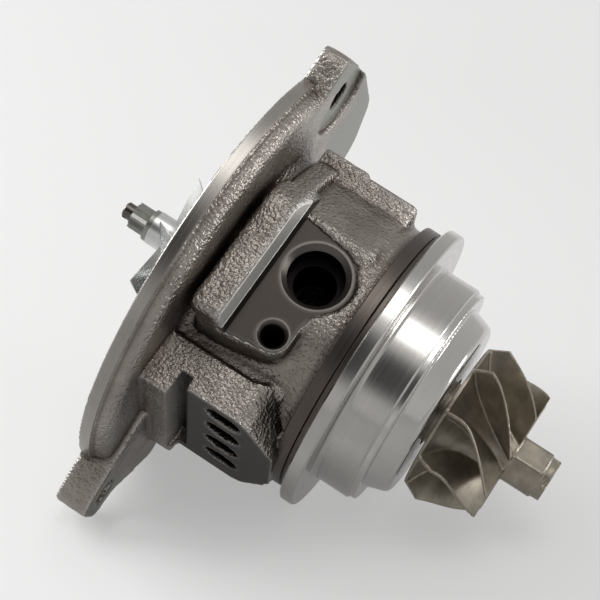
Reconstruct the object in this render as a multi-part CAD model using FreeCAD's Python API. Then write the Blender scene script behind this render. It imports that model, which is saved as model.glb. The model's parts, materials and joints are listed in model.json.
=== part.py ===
import FreeCAD, Part
import math
import os

# Turbocharger cartridge: bearing housing with its flange, shaft, both wheels and
# the bearings and seals between them. Sizes are millimetres.
# Shaft frame used while modelling: +X along the shaft towards the turbine wheel,
# X = 0 on the turbine-side face of the clamp ring, +Z up through the oil inlet,
# -Y out of the milled side pad. The bench pose at the end lays the cartridge on
# its lower ear, its flange rim and its clamp ring, the way it lies on a table.

Vector = FreeCAD.Vector
AXIS = Vector(1, 0, 0)
ORIGIN = Vector(0, 0, 0)

# Flange, neck, ring and drum of the housing, turned about the shaft axis
FLANGE_RADIUS = 51.5
FLANGE_THICKNESS = 6.4
RIM_WIDTH = 2.9
RIM_STEP = 0.9
FLANGE_EDGE_ROUND = 3.0
FLANGE_TO_RING = 38.5
NECK_RADIUS = 31.1
NECK_FILLET = 3.5
LAND_PROUD = 1.9
LAND_WIDTH = 3.0
LAND_GROOVE_WIDTH = 1.4
LAND_GROOVE_DEPTH = 1.1
RING_RADIUS = 35.2
RING_WIDTH = 3.4
RING_CHAMFER = 0.5
DRUM_RADIUS = 27.1
DRUM_LENGTH = 9.3
DRUM_FILLET = 1.3
DRUM_CHAMFER = 0.4
NOSE_WALL = 4.9
NOSE_LENGTH = 3.0

# Cast body between flange and ring
SHOULDER_GAP = 2.7
BODY_END_TO_RING = 11.0
BODY_EDGE_ROUND = 2.0
TOP_HEIGHT = 31.3
TOP_NEAR_EDGE = 20.0
TOP_FAR_EDGE = 18.0
TOP_WALL = 6.3
TOP_FLAT_CUT = 1.3
TOP_FLAT_START = 11.6
NEAR_BULGE_HEIGHT = 10.5
NEAR_FOOT = 22.5
FAR_SIDE = 28.0
FAR_SHOULDER_HEIGHT = 17.0
FAR_HIP_HEIGHT = 9.0
FAR_FOOT_PROUD = 1.0
TOP_NEAR_ROUND = 1.5
TOP_FAR_ROUND = 3.0
FAR_SIDE_ROUND = 8.0
NEAR_BULGE_ROUND = 4.0
FOOT_ROUND = 2.0

# Milled side pad with its coolant port and its tapped hole
PAD_DISTANCE = 30.0
RIB_WIDTH = 5.7
RIB_PROUD = 7.0
RIB_ROOT = 5.0
RIB_SHOULDER = 2.0
RIB_SHOULDER_DEPTH = 6.0
RIB_SHOULDER_ROUND = 3.0
RIB_BROW_DROP = 2.0
RIB_BROW_ROUND = 5.0
RIB_ROUND = 1.8
PORT_FROM_RIB = 10.8
PORT_Z = 0.5
PORT_RADIUS = 6.25
PORT_DEPTH = 6.0
PORT_STEP = 1.6
PORT_STEP_DEPTH = 11.0
PORT_CHAMFER = 1.2
PORT_LOBE_WALL = 2.75
PAD_BLEND_ROUND = 3.0
PAD_ROOT = 3.0
PORT_FAR_DISTANCE = 33.0
PORT_FAR_RISE = 1.5
PORT_FAR_CHAMFER = 0.9
PAD_ABOVE_PORT = 10.7
PAD_HOLE_BACK = 0.4
PAD_HOLE_DROP = 16.0
PAD_HOLE_RADIUS = 2.5
PAD_HOLE_DEPTH = 12.0
PAD_HOLE_CHAMFER = 0.8
PAD_HOLE_WALL = 1.9
PAD_BELOW_HOLE = 5.8

# Oil inlet on the top boss
OIL_INLET_FROM_RIB = 12.6
OIL_INLET_RADIUS = 4.5
OIL_INLET_DEPTH = 11.5
OIL_INLET_CHAMFER = 0.9
OIL_FEED_RADIUS = 1.5

# Oil drain on the underside
DRAIN_HEIGHT = 34.0
DRAIN_NEAR = 24.5
DRAIN_FAR = 20.0
DRAIN_TOP_DROP = 3.2
DRAIN_BEND_TO_RING = 14.5
DRAIN_END_TO_RING = 6.5
DRAIN_END_WIDTH = 19.0
DRAIN_ROOF = 12.0
DRAIN_FLANGE_ROUND = 3.0
DRAIN_BEND_ROUND = 6.0
DRAIN_END_ROUND = 5.0
DRAIN_GROOVE_INSET = 3.5
DRAIN_GROOVE_RUNOUT = 7.5
DRAIN_GROOVE_ROUND = 2.5
STEP_BLOCK_DROP = 3.0
STEP_BLOCK_WIDTH = 7.5
WINDOW_LENGTH = 8.2
WINDOW_WIDTH = 6.9
WINDOW_PITCH = 9.7
WINDOW_COUNT = 4
WINDOW_TO_RING = 19.5
WINDOW_CENTRE_Y = -4.3
WINDOW_DEPTH = 4.0
WINDOW_CORNER = 3.2
DRAIN_WELL_HEIGHT = 10.0
DRAIN_WELL_LENGTH = 9.0
DRAIN_WELL_WIDTH = 8.5

# Ears on the flange, laid out square to the upper ear's straight side
EAR_ROLL = 18.5
UPPER_EAR_PROUD = 3.5
UPPER_EAR_CREST_SIDE = 4.0
UPPER_EAR_CREST_ROUND = 60.0
UPPER_EAR_NEAR = 27.0
UPPER_EAR_NEAR_LEAN = 1.0
UPPER_EAR_NEAR_DROP = 2.0
UPPER_EAR_CORNER = 3.5
UPPER_EAR_FAR = 22.0
UPPER_EAR_FAR_DROP = 2.5
UPPER_EAR_FAR_ROUND = 10.0
UPPER_EAR_HIP = 34.0
UPPER_EAR_HIP_DROP = 11.5
UPPER_EAR_HIP_ROUND = 8.0
UPPER_EAR_FOOT = 37.0
UPPER_HOLE_INSET = 8.5
UPPER_HOLE_SIDE = 8.5
SPOTFACE_RADIUS = 9.5
SPOTFACE_DEPTH = 1.3
LOWER_EAR_THICKNESS = 8.0
LOWER_EAR_PROUD = 11.0
LOWER_EAR_NEAR = 10.0
LOWER_EAR_NEAR_LEAN = 1.5
LOWER_EAR_KNEE = 4.5
LOWER_EAR_FAR = 2.0
LOWER_EAR_FAR_LEAN = 1.0
LOWER_EAR_CORNER = 3.2
LOWER_EAR_BLEND = 4.0
LOWER_EAR_ROOT = 2.5
LOWER_EAR_NECK = 4.0
LOWER_EAR_NECK_ROUND = 6.0
LOWER_EAR_FLARE = 20.0
LOWER_EAR_FLARE_INSET = 5.0
LOWER_HOLE_INSET = 7.0
LOWER_HOLE_SIDE = 4.0
EAR_HOLE_RADIUS = 3.3

# Shaft and the journals
JOURNAL_RADIUS = 3.5
STUB_RADIUS = 2.5
THREAD_RADIUS = 1.95
SEAL_HUB_RADIUS = 7.0
SEAL_HUB_GAP = 0.6
SHAFT_TIP_BEYOND_NUT = 2.6
TIP_CHAMFER = 0.3
TIP_SLOT_WIDTH = 0.9
TIP_SLOT_DEPTH = 1.3

# Floating journal bushes
BUSH_LENGTH = 6.5
BUSH_WALL = 2.22
BUSH_INNER_CLEARANCE = 0.03
BUSH_OUTER_CLEARANCE = 0.05
BUSH_SIDE_CLEARANCE = 0.1
BUSH_HOLE_RADIUS = 0.7
BUSH_HOLES = 6
BUSH_HOLE_PHASE = 20.0
BUSH_TO_RING = 1.2
COMPRESSOR_BUSH_INSET = 0.3
CIRCLIP_THICKNESS = 1.0
CIRCLIP_GROOVE_DEPTH = 0.8
CIRCLIP_WIDTH = 1.7
CIRCLIP_GAP = 2.4
CIRCLIP_TURN = 40.0
GALLERY_DEPTH = 1.6
GALLERY_MARGIN = 1.5
OIL_CAVITY_DEPTH = 2.5
OIL_CAVITY_LENGTH = 2.4

# Thrust bearing with its collar and its two locating pins
COLLAR_PROUD = 3.9
COLLAR_WAIST_WALL = 2.1
COLLAR_FLANGE = 1.2
COLLAR_POCKET_GAP = 0.6
COLLAR_POCKET_END = 0.45
THRUST_THICKNESS = 2.6
THRUST_CLEARANCE = 0.05
THRUST_RADIUS = 13.0
THRUST_BORE_GAP = 0.15
THRUST_FIT = 0.02
THRUST_PIN_RADIUS = 1.0
THRUST_PIN_LENGTH = 4.5
THRUST_PIN_INSET = 2.8
THRUST_PIN_HEIGHT = 2.0

# Oil deflector, flinger sleeve and seal plate
DEFLECTOR_THICKNESS = 0.7
DEFLECTOR_GAP = 0.7
DEFLECTOR_TONGUE_WIDTH = 9.0
DEFLECTOR_TONGUE_TOP = 2.0
FLINGER_PROUD = 3.6
FLINGER_THICKNESS = 1.2
FLINGER_GAP = 0.2
SLEEVE_WALL = 2.5
SEAL_PLATE_RADIUS = 22.0
SEAL_PLATE_THICKNESS = 5.6
SEAL_PLATE_RELIEF_GAP = 0.8
SEAL_PLATE_RELIEF_DEPTH = 1.1
SEAL_PLATE_RECESS = 1.2
O_RING_SECTION = 1.6
O_RING_BEVEL = 0.45
SEAL_RETAINER_THICKNESS = 1.2
SEAL_RETAINER_GROOVE = 1.3
SEAL_RETAINER_LIP = 2.0
SEAL_RETAINER_OPENING = 8.0
SEAL_PLATE_FIT = 0.02
SLEEVE_END_PROUD = 0.4

# Piston rings that seal the shaft at both ends
SEAL_CLEARANCE = 0.1
PISTON_RING_WIDTH = 1.2
PISTON_RING_SIDE = 0.1
PISTON_RING_DEPTH = 1.1
PISTON_RING_FLOOR_GAP = 0.1
PISTON_RING_GAP = 0.4
TURBINE_RING_TURN = 25.0
COMPRESSOR_RING_TURN = 150.0
TURBINE_RING_FROM_WALL = 4.0

# Heat shield cup in front of the drum
SHIELD_FLANGE_INSET = 0.6
SHIELD_FLANGE_WIDTH = 3.5
SHIELD_FLANGE_THICKNESS = 1.4
SHIELD_SHEET = 1.0
SHIELD_TAPER = 1.8
SHIELD_DEPTH = 6.9
SHIELD_SHOULDER = 1.9
SHIELD_BORE_GAP = 1.0
SHIELD_EDGE_ROUND = 0.4

# Turbine wheel
TURBINE_GAP = 1.5
TURBINE_BOSS_PROUD = 0.6
TURBINE_BOSS_LENGTH = 3.2
TURBINE_BACK_RADIUS = 17.4
TURBINE_BACK_RIM = 0.7
TURBINE_INDUCER_FLARE = 2.2
TURBINE_INDUCER_WIDTH = 4.3
TURBINE_LENGTH = 17.2
TURBINE_EXDUCER_RADIUS = 15.8
TURBINE_SHROUD_DIP = 0.6
TURBINE_HUB_RADIUS = 5.9
TURBINE_HUB_WAIST = 9.4
TURBINE_HUB_WAIST_SHARE = 0.36
TURBINE_BLADES = 9
TURBINE_TWIST = 44.0
TURBINE_TWIST_POWER = 1.7
TURBINE_BLADE_ROOT = 1.5
TURBINE_BLADE_TIP = 0.75
TURBINE_BLADE_STATIONS = 7
TURBINE_PHASE = 196.0
HEX_FLATS = 10.6
HEX_LENGTH = 7.4
HEX_CORNER = 0.6
HEX_PHASE = 15.0
HEX_END_INSET = 0.35
HEX_END_LENGTH = 2.2
NOTCH_WIDTH = 1.6
NOTCH_DEPTH = 1.0
NOTCHES = 4
NOTCH_TURN = 30.0

# Compressor wheel and its nut
COMPRESSOR_GAP = 0.6
COMPRESSOR_BOSS_RADIUS = 4.9
COMPRESSOR_RADIUS = 20.5
COMPRESSOR_BACK = 1.2
COMPRESSOR_LENGTH = 16.5
COMPRESSOR_EXIT_WIDTH = 2.0
COMPRESSOR_INDUCER_RADIUS = 15.9
COMPRESSOR_HUB_RADIUS = 4.1
COMPRESSOR_NOSE = 4.0
COMPRESSOR_BLADES = 6
COMPRESSOR_WRAP = 48.0
COMPRESSOR_WRAP_POWER = 1.5
COMPRESSOR_BACKSWEEP = 16.0
COMPRESSOR_SPLITTER_START = 0.34
COMPRESSOR_BLADE_ROOT = 1.0
COMPRESSOR_BLADE_TIP = 0.45
COMPRESSOR_BLADE_STATIONS = 6
COMPRESSOR_ROOT_SINK = 0.8
NUT_WALL = 1.35
NUT_LENGTH = 5.4
NUT_FLANGE_PROUD = 0.6
NUT_FLANGE_THICKNESS = 1.2
NUT_POINTS = 12
NUT_POINT_DEPTH = 0.45

# Core plug pressed into the far side
CORE_PLUG_RADIUS = 5.5
CORE_PLUG_THICKNESS = 2.4
CORE_PLUG_RIM = 1.2
CORE_PLUG_DISH = 0.8
CORE_PLUG_SINK = 0.3
CORE_PLUG_DROP = 16.0
CORE_PLUG_BACK = 0.7
CORE_PLUG_BOSS = 29.5
CORE_PLUG_BOSS_WALL = 2.0
BOSS_DEPTH = 12.0

# How far cutting tools run past what they cut
OVERRUN = 1.0

# How the cartridge lies on the bench
LEAN_ANGLE = 21.5
ROLL_ANGLE = -56.1

# Stations along the shaft, worked out from the sizes above
FLANGE_BACK_X = -FLANGE_TO_RING
FLANGE_FACE_X = FLANGE_BACK_X - FLANGE_THICKNESS
BODY_START_X = FLANGE_BACK_X + SHOULDER_GAP
BODY_END_X = -BODY_END_TO_RING
PAD_WALL_X = BODY_START_X + RIB_WIDTH
PORT_X = PAD_WALL_X + PORT_FROM_RIB
PAD_HOLE_X = PORT_X - PAD_HOLE_BACK
OIL_INLET_X = PAD_WALL_X + OIL_INLET_FROM_RIB
SHIELD_FRONT_X = DRUM_LENGTH + SHIELD_DEPTH
TURBINE_BACK_X = SHIELD_FRONT_X + TURBINE_GAP
TURBINE_INDUCER_X = TURBINE_BACK_X + TURBINE_INDUCER_WIDTH
TURBINE_END_X = TURBINE_BACK_X + TURBINE_LENGTH
WELD_X = TURBINE_BACK_X - TURBINE_BOSS_LENGTH
SEAL_HUB_START = OIL_CAVITY_LENGTH + SEAL_HUB_GAP
TURBINE_RING_X = OIL_CAVITY_LENGTH + TURBINE_RING_FROM_WALL
SEAL_FACE_X = FLANGE_FACE_X + SEAL_RETAINER_THICKNESS + SEAL_PLATE_RECESS
SEAL_SEAT_X = SEAL_FACE_X + SEAL_PLATE_THICKNESS
FLINGER_X = SEAL_SEAT_X - SEAL_PLATE_RELIEF_DEPTH + FLINGER_GAP
COLLAR_START_X = FLINGER_X + FLINGER_THICKNESS
THRUST_FACE_X = COLLAR_START_X + COLLAR_FLANGE + THRUST_CLEARANCE
THRUST_SEAT_X = THRUST_FACE_X + THRUST_THICKNESS
COLLAR_END_X = THRUST_SEAT_X + THRUST_CLEARANCE + COLLAR_FLANGE
BORE_END_X = COLLAR_END_X + COLLAR_POCKET_END
DEFLECTOR_FACE_X = THRUST_FACE_X - DEFLECTOR_THICKNESS
COMPRESSOR_BACK_X = FLANGE_FACE_X + SEAL_PLATE_RECESS - COMPRESSOR_GAP
COMPRESSOR_FRONT_X = COMPRESSOR_BACK_X - COMPRESSOR_LENGTH
NUT_END_X = COMPRESSOR_FRONT_X - NUT_LENGTH
SHAFT_TIP_X = NUT_END_X - SHAFT_TIP_BEYOND_NUT
COMPRESSOR_RING_X = (SEAL_FACE_X + SEAL_SEAT_X) / 2

# Radii and heights that follow from them
BUSH_RADIUS = JOURNAL_RADIUS + BUSH_INNER_CLEARANCE + BUSH_WALL
BEARING_BORE = BUSH_RADIUS + BUSH_OUTER_CLEARANCE
TURBINE_SEAL_BORE = SEAL_HUB_RADIUS + SEAL_CLEARANCE
SLEEVE_RADIUS = STUB_RADIUS + SLEEVE_WALL
SEAL_PLATE_BORE = SLEEVE_RADIUS + SEAL_CLEARANCE
FLINGER_RADIUS = SLEEVE_RADIUS + FLINGER_PROUD
COLLAR_RADIUS = STUB_RADIUS + COLLAR_PROUD
SEAL_PLATE_RELIEF_RADIUS = FLINGER_RADIUS + SEAL_PLATE_RELIEF_GAP
COLLAR_WAIST_RADIUS = STUB_RADIUS + COLLAR_WAIST_WALL
THRUST_BORE_RADIUS = COLLAR_WAIST_RADIUS + THRUST_BORE_GAP
DEFLECTOR_BORE_RADIUS = COLLAR_RADIUS + DEFLECTOR_GAP
TURBINE_BOSS_RADIUS = SEAL_HUB_RADIUS + TURBINE_BOSS_PROUD
TURBINE_INDUCER_RADIUS = TURBINE_BACK_RADIUS + TURBINE_INDUCER_FLARE
SHIELD_FLANGE_RADIUS = DRUM_RADIUS - SHIELD_FLANGE_INSET
SHIELD_ROOT_RADIUS = SHIELD_FLANGE_RADIUS - SHIELD_FLANGE_WIDTH
SHIELD_FRONT_RADIUS = SHIELD_ROOT_RADIUS - SHIELD_TAPER
SHIELD_BORE_RADIUS = TURBINE_BOSS_RADIUS + SHIELD_BORE_GAP
HEX_END_RADIUS = HEX_FLATS / 2 - HEX_END_INSET
NUT_RADIUS = THREAD_RADIUS + NUT_WALL
NUT_FLANGE_RADIUS = NUT_RADIUS + NUT_FLANGE_PROUD
RIB_DISTANCE = PAD_DISTANCE + RIB_PROUD
PORT_LOBE_RADIUS = PORT_RADIUS + PORT_LOBE_WALL
PORT_STEP_RADIUS = PORT_RADIUS - PORT_STEP
PAD_TOP = PORT_Z + PAD_ABOVE_PORT
PAD_HOLE_Z = PORT_Z - PAD_HOLE_DROP
PAD_BOTTOM = PAD_HOLE_Z - PAD_BELOW_HOLE
PAD_LOBE_RADIUS = PAD_HOLE_RADIUS + PAD_HOLE_WALL
TOP_FLAT = TOP_HEIGHT - TOP_FLAT_CUT
DRAIN_TOP = DRAIN_TOP_DROP - PAD_BOTTOM
CORE_PLUG_Z = PORT_Z - CORE_PLUG_DROP
CORE_PLUG_X = PORT_X - CORE_PLUG_BACK
UPPER_EAR_REACH = FLANGE_RADIUS + UPPER_EAR_PROUD
LOWER_EAR_REACH = FLANGE_RADIUS + LOWER_EAR_PROUD


def rounded_wire(corners, place):
    """Closed wire through corners (a, b, radius); place turns (a, b) into a point."""
    trimmed = []
    count = len(corners)
    for index, (a, b, radius) in enumerate(corners):
        corner = Vector(a, b, 0)
        before = Vector(*corners[index - 1][:2], 0) - corner
        after = Vector(*corners[(index + 1) % count][:2], 0) - corner
        half = before.getAngle(after) / 2
        before.normalize()
        after.normalize()
        if radius == 0:
            trimmed.append((corner, None, corner))
            continue
        reach = radius / math.tan(half)
        middle = before + after
        middle.normalize()
        depth = radius / math.sin(half) - radius
        trimmed.append((corner + before * reach, corner + middle * depth, corner + after * reach))
    edges = []
    for index, (start, middle, end) in enumerate(trimmed):
        last = trimmed[index - 1][2]
        if last.distanceToPoint(start) > 1e-6:
            edges.append(Part.LineSegment(place(last.x, last.y), place(start.x, start.y)).toShape())
        if middle is not None:
            points = [place(p.x, p.y) for p in (start, middle, end)]
            edges.append(Part.Arc(*points).toShape())
    return Part.Wire(edges)


def plain(points):
    """Give each point of an outline a sharp corner."""
    return [(a, b, 0) for a, b in points]


def turned(corners):
    """Solid of revolution about the shaft from an outline of (x, radius, round)."""
    wire = rounded_wire(corners, lambda x, r: Vector(x, 0, r))
    return Part.Face(wire).revolve(ORIGIN, AXIS, 360)


def disc(radius, start, end):
    """Cylinder about the shaft from one station to another."""
    return Part.makeCylinder(radius, end - start, Vector(start, 0, 0), AXIS)


def section_prism(corners, start, end):
    """Prism along the shaft from an outline of (y, z, round)."""
    wire = rounded_wire(corners, lambda y, z: Vector(start, y, z))
    return Part.Face(wire).extrude(Vector(end - start, 0, 0))


def side_prism(corners, start, end):
    """Prism across the shaft, along Y, from an outline of (x, z, round)."""
    wire = rounded_wire(corners, lambda x, z: Vector(x, start, z))
    return Part.Face(wire).extrude(Vector(0, end - start, 0))


def plan_prism(corners, start, end):
    """Upright prism from an outline of (x, y, round)."""
    wire = rounded_wire(corners, lambda x, y: Vector(x, y, start))
    return Part.Face(wire).extrude(Vector(0, 0, end - start))


def box(x0, x1, y0, y1, z0, z1):
    """Box between two corners."""
    return Part.makeBox(x1 - x0, y1 - y0, z1 - z0, Vector(x0, y0, z0))


def drilled(mouth, inward, radius, depth, chamfer):
    """Tool for a hole with a chamfered mouth; inward is the drilling direction."""
    hole = Part.makeCylinder(radius, depth, mouth, inward)
    lead = Part.makeCone(radius + chamfer, radius, chamfer, mouth, inward)
    return hole.fuse(lead)


def ear_corner(reach, side, radius=0):
    """Point of an ear outline, from how far it reaches up and how far to the near side."""
    roll = math.radians(EAR_ROLL)
    y = -reach * math.sin(roll) - side * math.cos(roll)
    z = reach * math.cos(roll) - side * math.sin(roll)
    return (y, z, radius)


def spun(shape, angle):
    """Copy of a shape turned about the shaft."""
    copy = shape.copy()
    copy.rotate(ORIGIN, AXIS, angle)
    return copy


def split_ring(outer, inner, start, end, gap, angle):
    """Flat ring with one gap in it."""
    ring = disc(outer, start, end).cut(disc(inner, start, end))
    cutter = box(start, end, -gap / 2, gap / 2, 0, outer + OVERRUN)
    return ring.cut(spun(cutter, angle))


def turned_outside():
    """Flange, neck, clamp ring, drum and nose of the housing, as the lathe leaves them."""
    land_start = -RING_WIDTH - LAND_GROOVE_WIDTH - LAND_WIDTH
    land_radius = NECK_RADIUS + LAND_PROUD
    groove_radius = land_radius - LAND_GROOVE_DEPTH
    nose_radius = TURBINE_SEAL_BORE + NOSE_WALL
    cast_radius = FLANGE_RADIUS - RIM_STEP
    return turned([
        (FLANGE_FACE_X, 0, 0),
        (FLANGE_FACE_X, FLANGE_RADIUS, 0),
        (FLANGE_FACE_X + RIM_WIDTH, FLANGE_RADIUS, 0),
        (FLANGE_FACE_X + RIM_WIDTH, cast_radius, 0),
        (FLANGE_BACK_X, cast_radius, FLANGE_EDGE_ROUND),
        (FLANGE_BACK_X, NECK_RADIUS, NECK_FILLET),
        (land_start, NECK_RADIUS, 0),
        (land_start, land_radius, 0),
        (land_start + LAND_WIDTH, land_radius, 0),
        (land_start + LAND_WIDTH, groove_radius, 0),
        (-RING_WIDTH, groove_radius, 0),
        (-RING_WIDTH, RING_RADIUS - RING_CHAMFER, 0),
        (-RING_WIDTH + RING_CHAMFER, RING_RADIUS, 0),
        (-RING_CHAMFER, RING_RADIUS, 0),
        (0, RING_RADIUS - RING_CHAMFER, 0),
        (0, DRUM_RADIUS, DRUM_FILLET),
        (DRUM_LENGTH - DRUM_CHAMFER, DRUM_RADIUS, 0),
        (DRUM_LENGTH, DRUM_RADIUS - DRUM_CHAMFER, 0),
        (DRUM_LENGTH, nose_radius, 0),
        (DRUM_LENGTH + NOSE_LENGTH, nose_radius, 0),
        (DRUM_LENGTH + NOSE_LENGTH, 0, 0),
    ])


def cast_body():
    """The block of the casting that carries the ports, with its sloped near shoulder."""
    body = section_prism([
        (-TOP_NEAR_EDGE, TOP_HEIGHT, TOP_NEAR_ROUND),
        (TOP_FAR_EDGE, TOP_HEIGHT, TOP_FAR_ROUND),
        (FAR_SIDE, FAR_SHOULDER_HEIGHT, FAR_SIDE_ROUND),
        (FAR_SIDE, -FAR_HIP_HEIGHT, FAR_SIDE_ROUND),
        (DRAIN_FAR + FAR_FOOT_PROUD, -DRAIN_TOP, FOOT_ROUND),
        (-NEAR_FOOT, -DRAIN_TOP, FOOT_ROUND),
        (-NEAR_FOOT, PAD_BOTTOM, FOOT_ROUND),
        (-NECK_RADIUS, NEAR_BULGE_HEIGHT, NEAR_BULGE_ROUND),
        (-TOP_NEAR_EDGE, TOP_HEIGHT - TOP_WALL, TOP_NEAR_ROUND),
    ], BODY_START_X, BODY_END_X)
    end_edges = [edge for edge in body.Edges if abs(edge.BoundBox.XMin - BODY_END_X) < 1e-3]
    return body.makeFillet(BODY_EDGE_ROUND, end_edges)


def rib():
    """Rough rib that stands proud of the pad on the flange side and slopes up to the top."""
    slope_top = TOP_HEIGHT - TOP_WALL + RIB_SHOULDER
    root = -TOP_NEAR_EDGE + RIB_ROOT
    shape = section_prism([
        (root, slope_top - RIB_SHOULDER_DEPTH, 0),
        (-TOP_NEAR_EDGE, PAD_BOTTOM, 0),
        (-RIB_DISTANCE, PAD_BOTTOM, RIB_ROUND),
        (-RIB_DISTANCE, PAD_TOP - RIB_BROW_DROP, RIB_BROW_ROUND),
        (-TOP_NEAR_EDGE - OVERRUN, slope_top, RIB_SHOULDER_ROUND),
        (root, slope_top, 0),
    ], BODY_START_X, PAD_WALL_X)
    start_edges = [
        edge for edge in shape.Edges
        if edge.BoundBox.XMax < BODY_START_X + 1e-3 and edge.BoundBox.YMin < -TOP_NEAR_EDGE - 0.5
        and edge.BoundBox.YMax < -TOP_NEAR_EDGE + 1.0 and edge.BoundBox.ZMax > PAD_BOTTOM + 2.5
    ]
    return shape.makeFillet(RIB_ROUND, start_edges)


def tangent_fall(ahead, rise, radius):
    """Slope of the line past a circle from a point that lies behind its centre and above it."""
    return math.tan(math.atan2(rise, ahead) - math.asin(radius / math.hypot(ahead, rise)))


def pad_outline():
    """Outline of the milled pad: a lobe about the port, blended at 45 degrees into one about
    the tapped hole, with straight edges back to the rib."""
    port_right = PORT_X + PORT_LOBE_RADIUS
    hole_right = PAD_HOLE_X + PAD_LOBE_RADIUS
    top_fall = tangent_fall(PORT_FROM_RIB, PAD_ABOVE_PORT, PORT_LOBE_RADIUS)
    foot_rise = tangent_fall(PORT_FROM_RIB - PAD_HOLE_BACK, PAD_BELOW_HOLE, PAD_LOBE_RADIUS)
    blend_start = PORT_Z - PORT_LOBE_RADIUS * math.tan(math.pi / 8)
    return [
        (PAD_WALL_X, PAD_BOTTOM, 0),
        (hole_right, PAD_BOTTOM + foot_rise * (hole_right - PAD_WALL_X), PAD_LOBE_RADIUS),
        (hole_right, blend_start - port_right + hole_right, PAD_BLEND_ROUND),
        (port_right, blend_start, PORT_LOBE_RADIUS),
        (port_right, PAD_TOP - top_fall * (port_right - PAD_WALL_X), PORT_LOBE_RADIUS),
        (PAD_WALL_X, PAD_TOP, 0),
    ]


def side_pad():
    """Boss under the pad, as far as the milled plane."""
    return side_prism(pad_outline(), -PAD_DISTANCE, -NEAR_FOOT + PAD_ROOT)


def pad_pocket():
    """What the mill takes away in front of the pad, up to the wall of the rib."""
    return side_prism(pad_outline(), -RIB_DISTANCE - OVERRUN, -PAD_DISTANCE)


def drain_base():
    """Underside of the casting: the drain pad and the deeper block beside the flange."""
    middle = (DRAIN_FAR - DRAIN_NEAR) / 2
    half_end = DRAIN_END_WIDTH / 2
    bend_x = -DRAIN_BEND_TO_RING
    end_x = -DRAIN_END_TO_RING
    pad = plan_prism([
        (BODY_START_X, DRAIN_FAR, DRAIN_FLANGE_ROUND),
        (BODY_START_X, -DRAIN_NEAR, DRAIN_FLANGE_ROUND),
        (bend_x, -DRAIN_NEAR, DRAIN_BEND_ROUND),
        (end_x, middle - half_end, DRAIN_END_ROUND),
        (end_x, middle + half_end, DRAIN_END_ROUND),
        (bend_x, DRAIN_FAR, DRAIN_BEND_ROUND),
    ], -DRAIN_HEIGHT, -DRAIN_ROOF)
    step = box(
        FLANGE_BACK_X - OVERRUN, FLANGE_BACK_X + STEP_BLOCK_WIDTH, -DRAIN_NEAR, DRAIN_FAR,
        -DRAIN_HEIGHT - STEP_BLOCK_DROP, -DRAIN_ROOF,
    )
    groove_start = FLANGE_BACK_X - OVERRUN
    groove_end = bend_x - DRAIN_GROOVE_INSET
    runout_end = groove_end + DRAIN_GROOVE_RUNOUT
    groove_roof = -DRAIN_ROOF + OVERRUN
    groove = side_prism([
        (groove_start, -DRAIN_TOP, 0),
        (groove_end, -DRAIN_TOP, DRAIN_GROOVE_ROUND),
        (runout_end, PAD_BOTTOM, 0),
        (runout_end, groove_roof, 0),
        (groove_start, groove_roof, 0),
    ], -DRAIN_NEAR - OVERRUN, -NEAR_FOOT)
    return pad.fuse(step).cut(groove)


def upper_ear():
    """Broad lobe with the actuator screw hole."""
    near = UPPER_EAR_NEAR - UPPER_EAR_NEAR_LEAN
    far = UPPER_EAR_REACH - UPPER_EAR_FAR_DROP
    hip = UPPER_EAR_REACH - UPPER_EAR_HIP_DROP
    blank = section_prism([
        ear_corner(NECK_RADIUS, UPPER_EAR_NEAR),
        ear_corner(UPPER_EAR_REACH - UPPER_EAR_NEAR_DROP, near, UPPER_EAR_CORNER),
        ear_corner(UPPER_EAR_REACH, UPPER_EAR_CREST_SIDE, UPPER_EAR_CREST_ROUND),
        ear_corner(far, -UPPER_EAR_FAR, UPPER_EAR_FAR_ROUND),
        ear_corner(hip, -UPPER_EAR_HIP, UPPER_EAR_HIP_ROUND),
        ear_corner(NECK_RADIUS, -UPPER_EAR_FOOT),
    ], FLANGE_FACE_X, FLANGE_BACK_X)
    y, z, _ = ear_corner(UPPER_EAR_REACH - UPPER_HOLE_INSET, UPPER_HOLE_SIDE)
    hole = Part.makeCylinder(EAR_HOLE_RADIUS, FLANGE_THICKNESS, Vector(FLANGE_FACE_X, y, z), AXIS)
    seat = Vector(FLANGE_BACK_X - SPOTFACE_DEPTH, y, z)
    spotface = Part.makeCylinder(SPOTFACE_RADIUS, SPOTFACE_DEPTH + NECK_FILLET, seat, AXIS)
    return blank, hole.fuse(spotface)


def lower_ear():
    """Narrow tab that runs off the flange rim, rounded at its end."""
    end = -LOWER_EAR_REACH
    near_tip = LOWER_EAR_NEAR - LOWER_EAR_NEAR_LEAN
    near_root = LOWER_EAR_NEAR + LOWER_EAR_NEAR_LEAN
    neck_side = -LOWER_EAR_FAR - LOWER_EAR_FAR_LEAN
    blank = section_prism([
        ear_corner(-NECK_RADIUS, near_root + LOWER_EAR_NEAR_LEAN),
        ear_corner(-FLANGE_RADIUS + LOWER_EAR_ROOT, near_root, LOWER_EAR_BLEND),
        ear_corner(end + LOWER_EAR_KNEE, LOWER_EAR_NEAR, LOWER_EAR_BLEND),
        ear_corner(end, near_tip, LOWER_EAR_CORNER),
        ear_corner(end, -LOWER_EAR_FAR, LOWER_EAR_CORNER),
        ear_corner(-FLANGE_RADIUS - LOWER_EAR_NECK, neck_side, LOWER_EAR_NECK_ROUND),
        ear_corner(-FLANGE_RADIUS + LOWER_EAR_FLARE_INSET, -LOWER_EAR_FLARE, LOWER_EAR_BLEND),
        ear_corner(-NECK_RADIUS, -LOWER_EAR_FLARE),
    ], FLANGE_FACE_X, FLANGE_FACE_X + LOWER_EAR_THICKNESS)
    y, z, _ = ear_corner(-LOWER_EAR_REACH + LOWER_HOLE_INSET, LOWER_HOLE_SIDE)
    start = Vector(FLANGE_FACE_X, y, z)
    hole = Part.makeCylinder(EAR_HOLE_RADIUS, LOWER_EAR_THICKNESS, start, AXIS)
    return blank, hole


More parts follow.
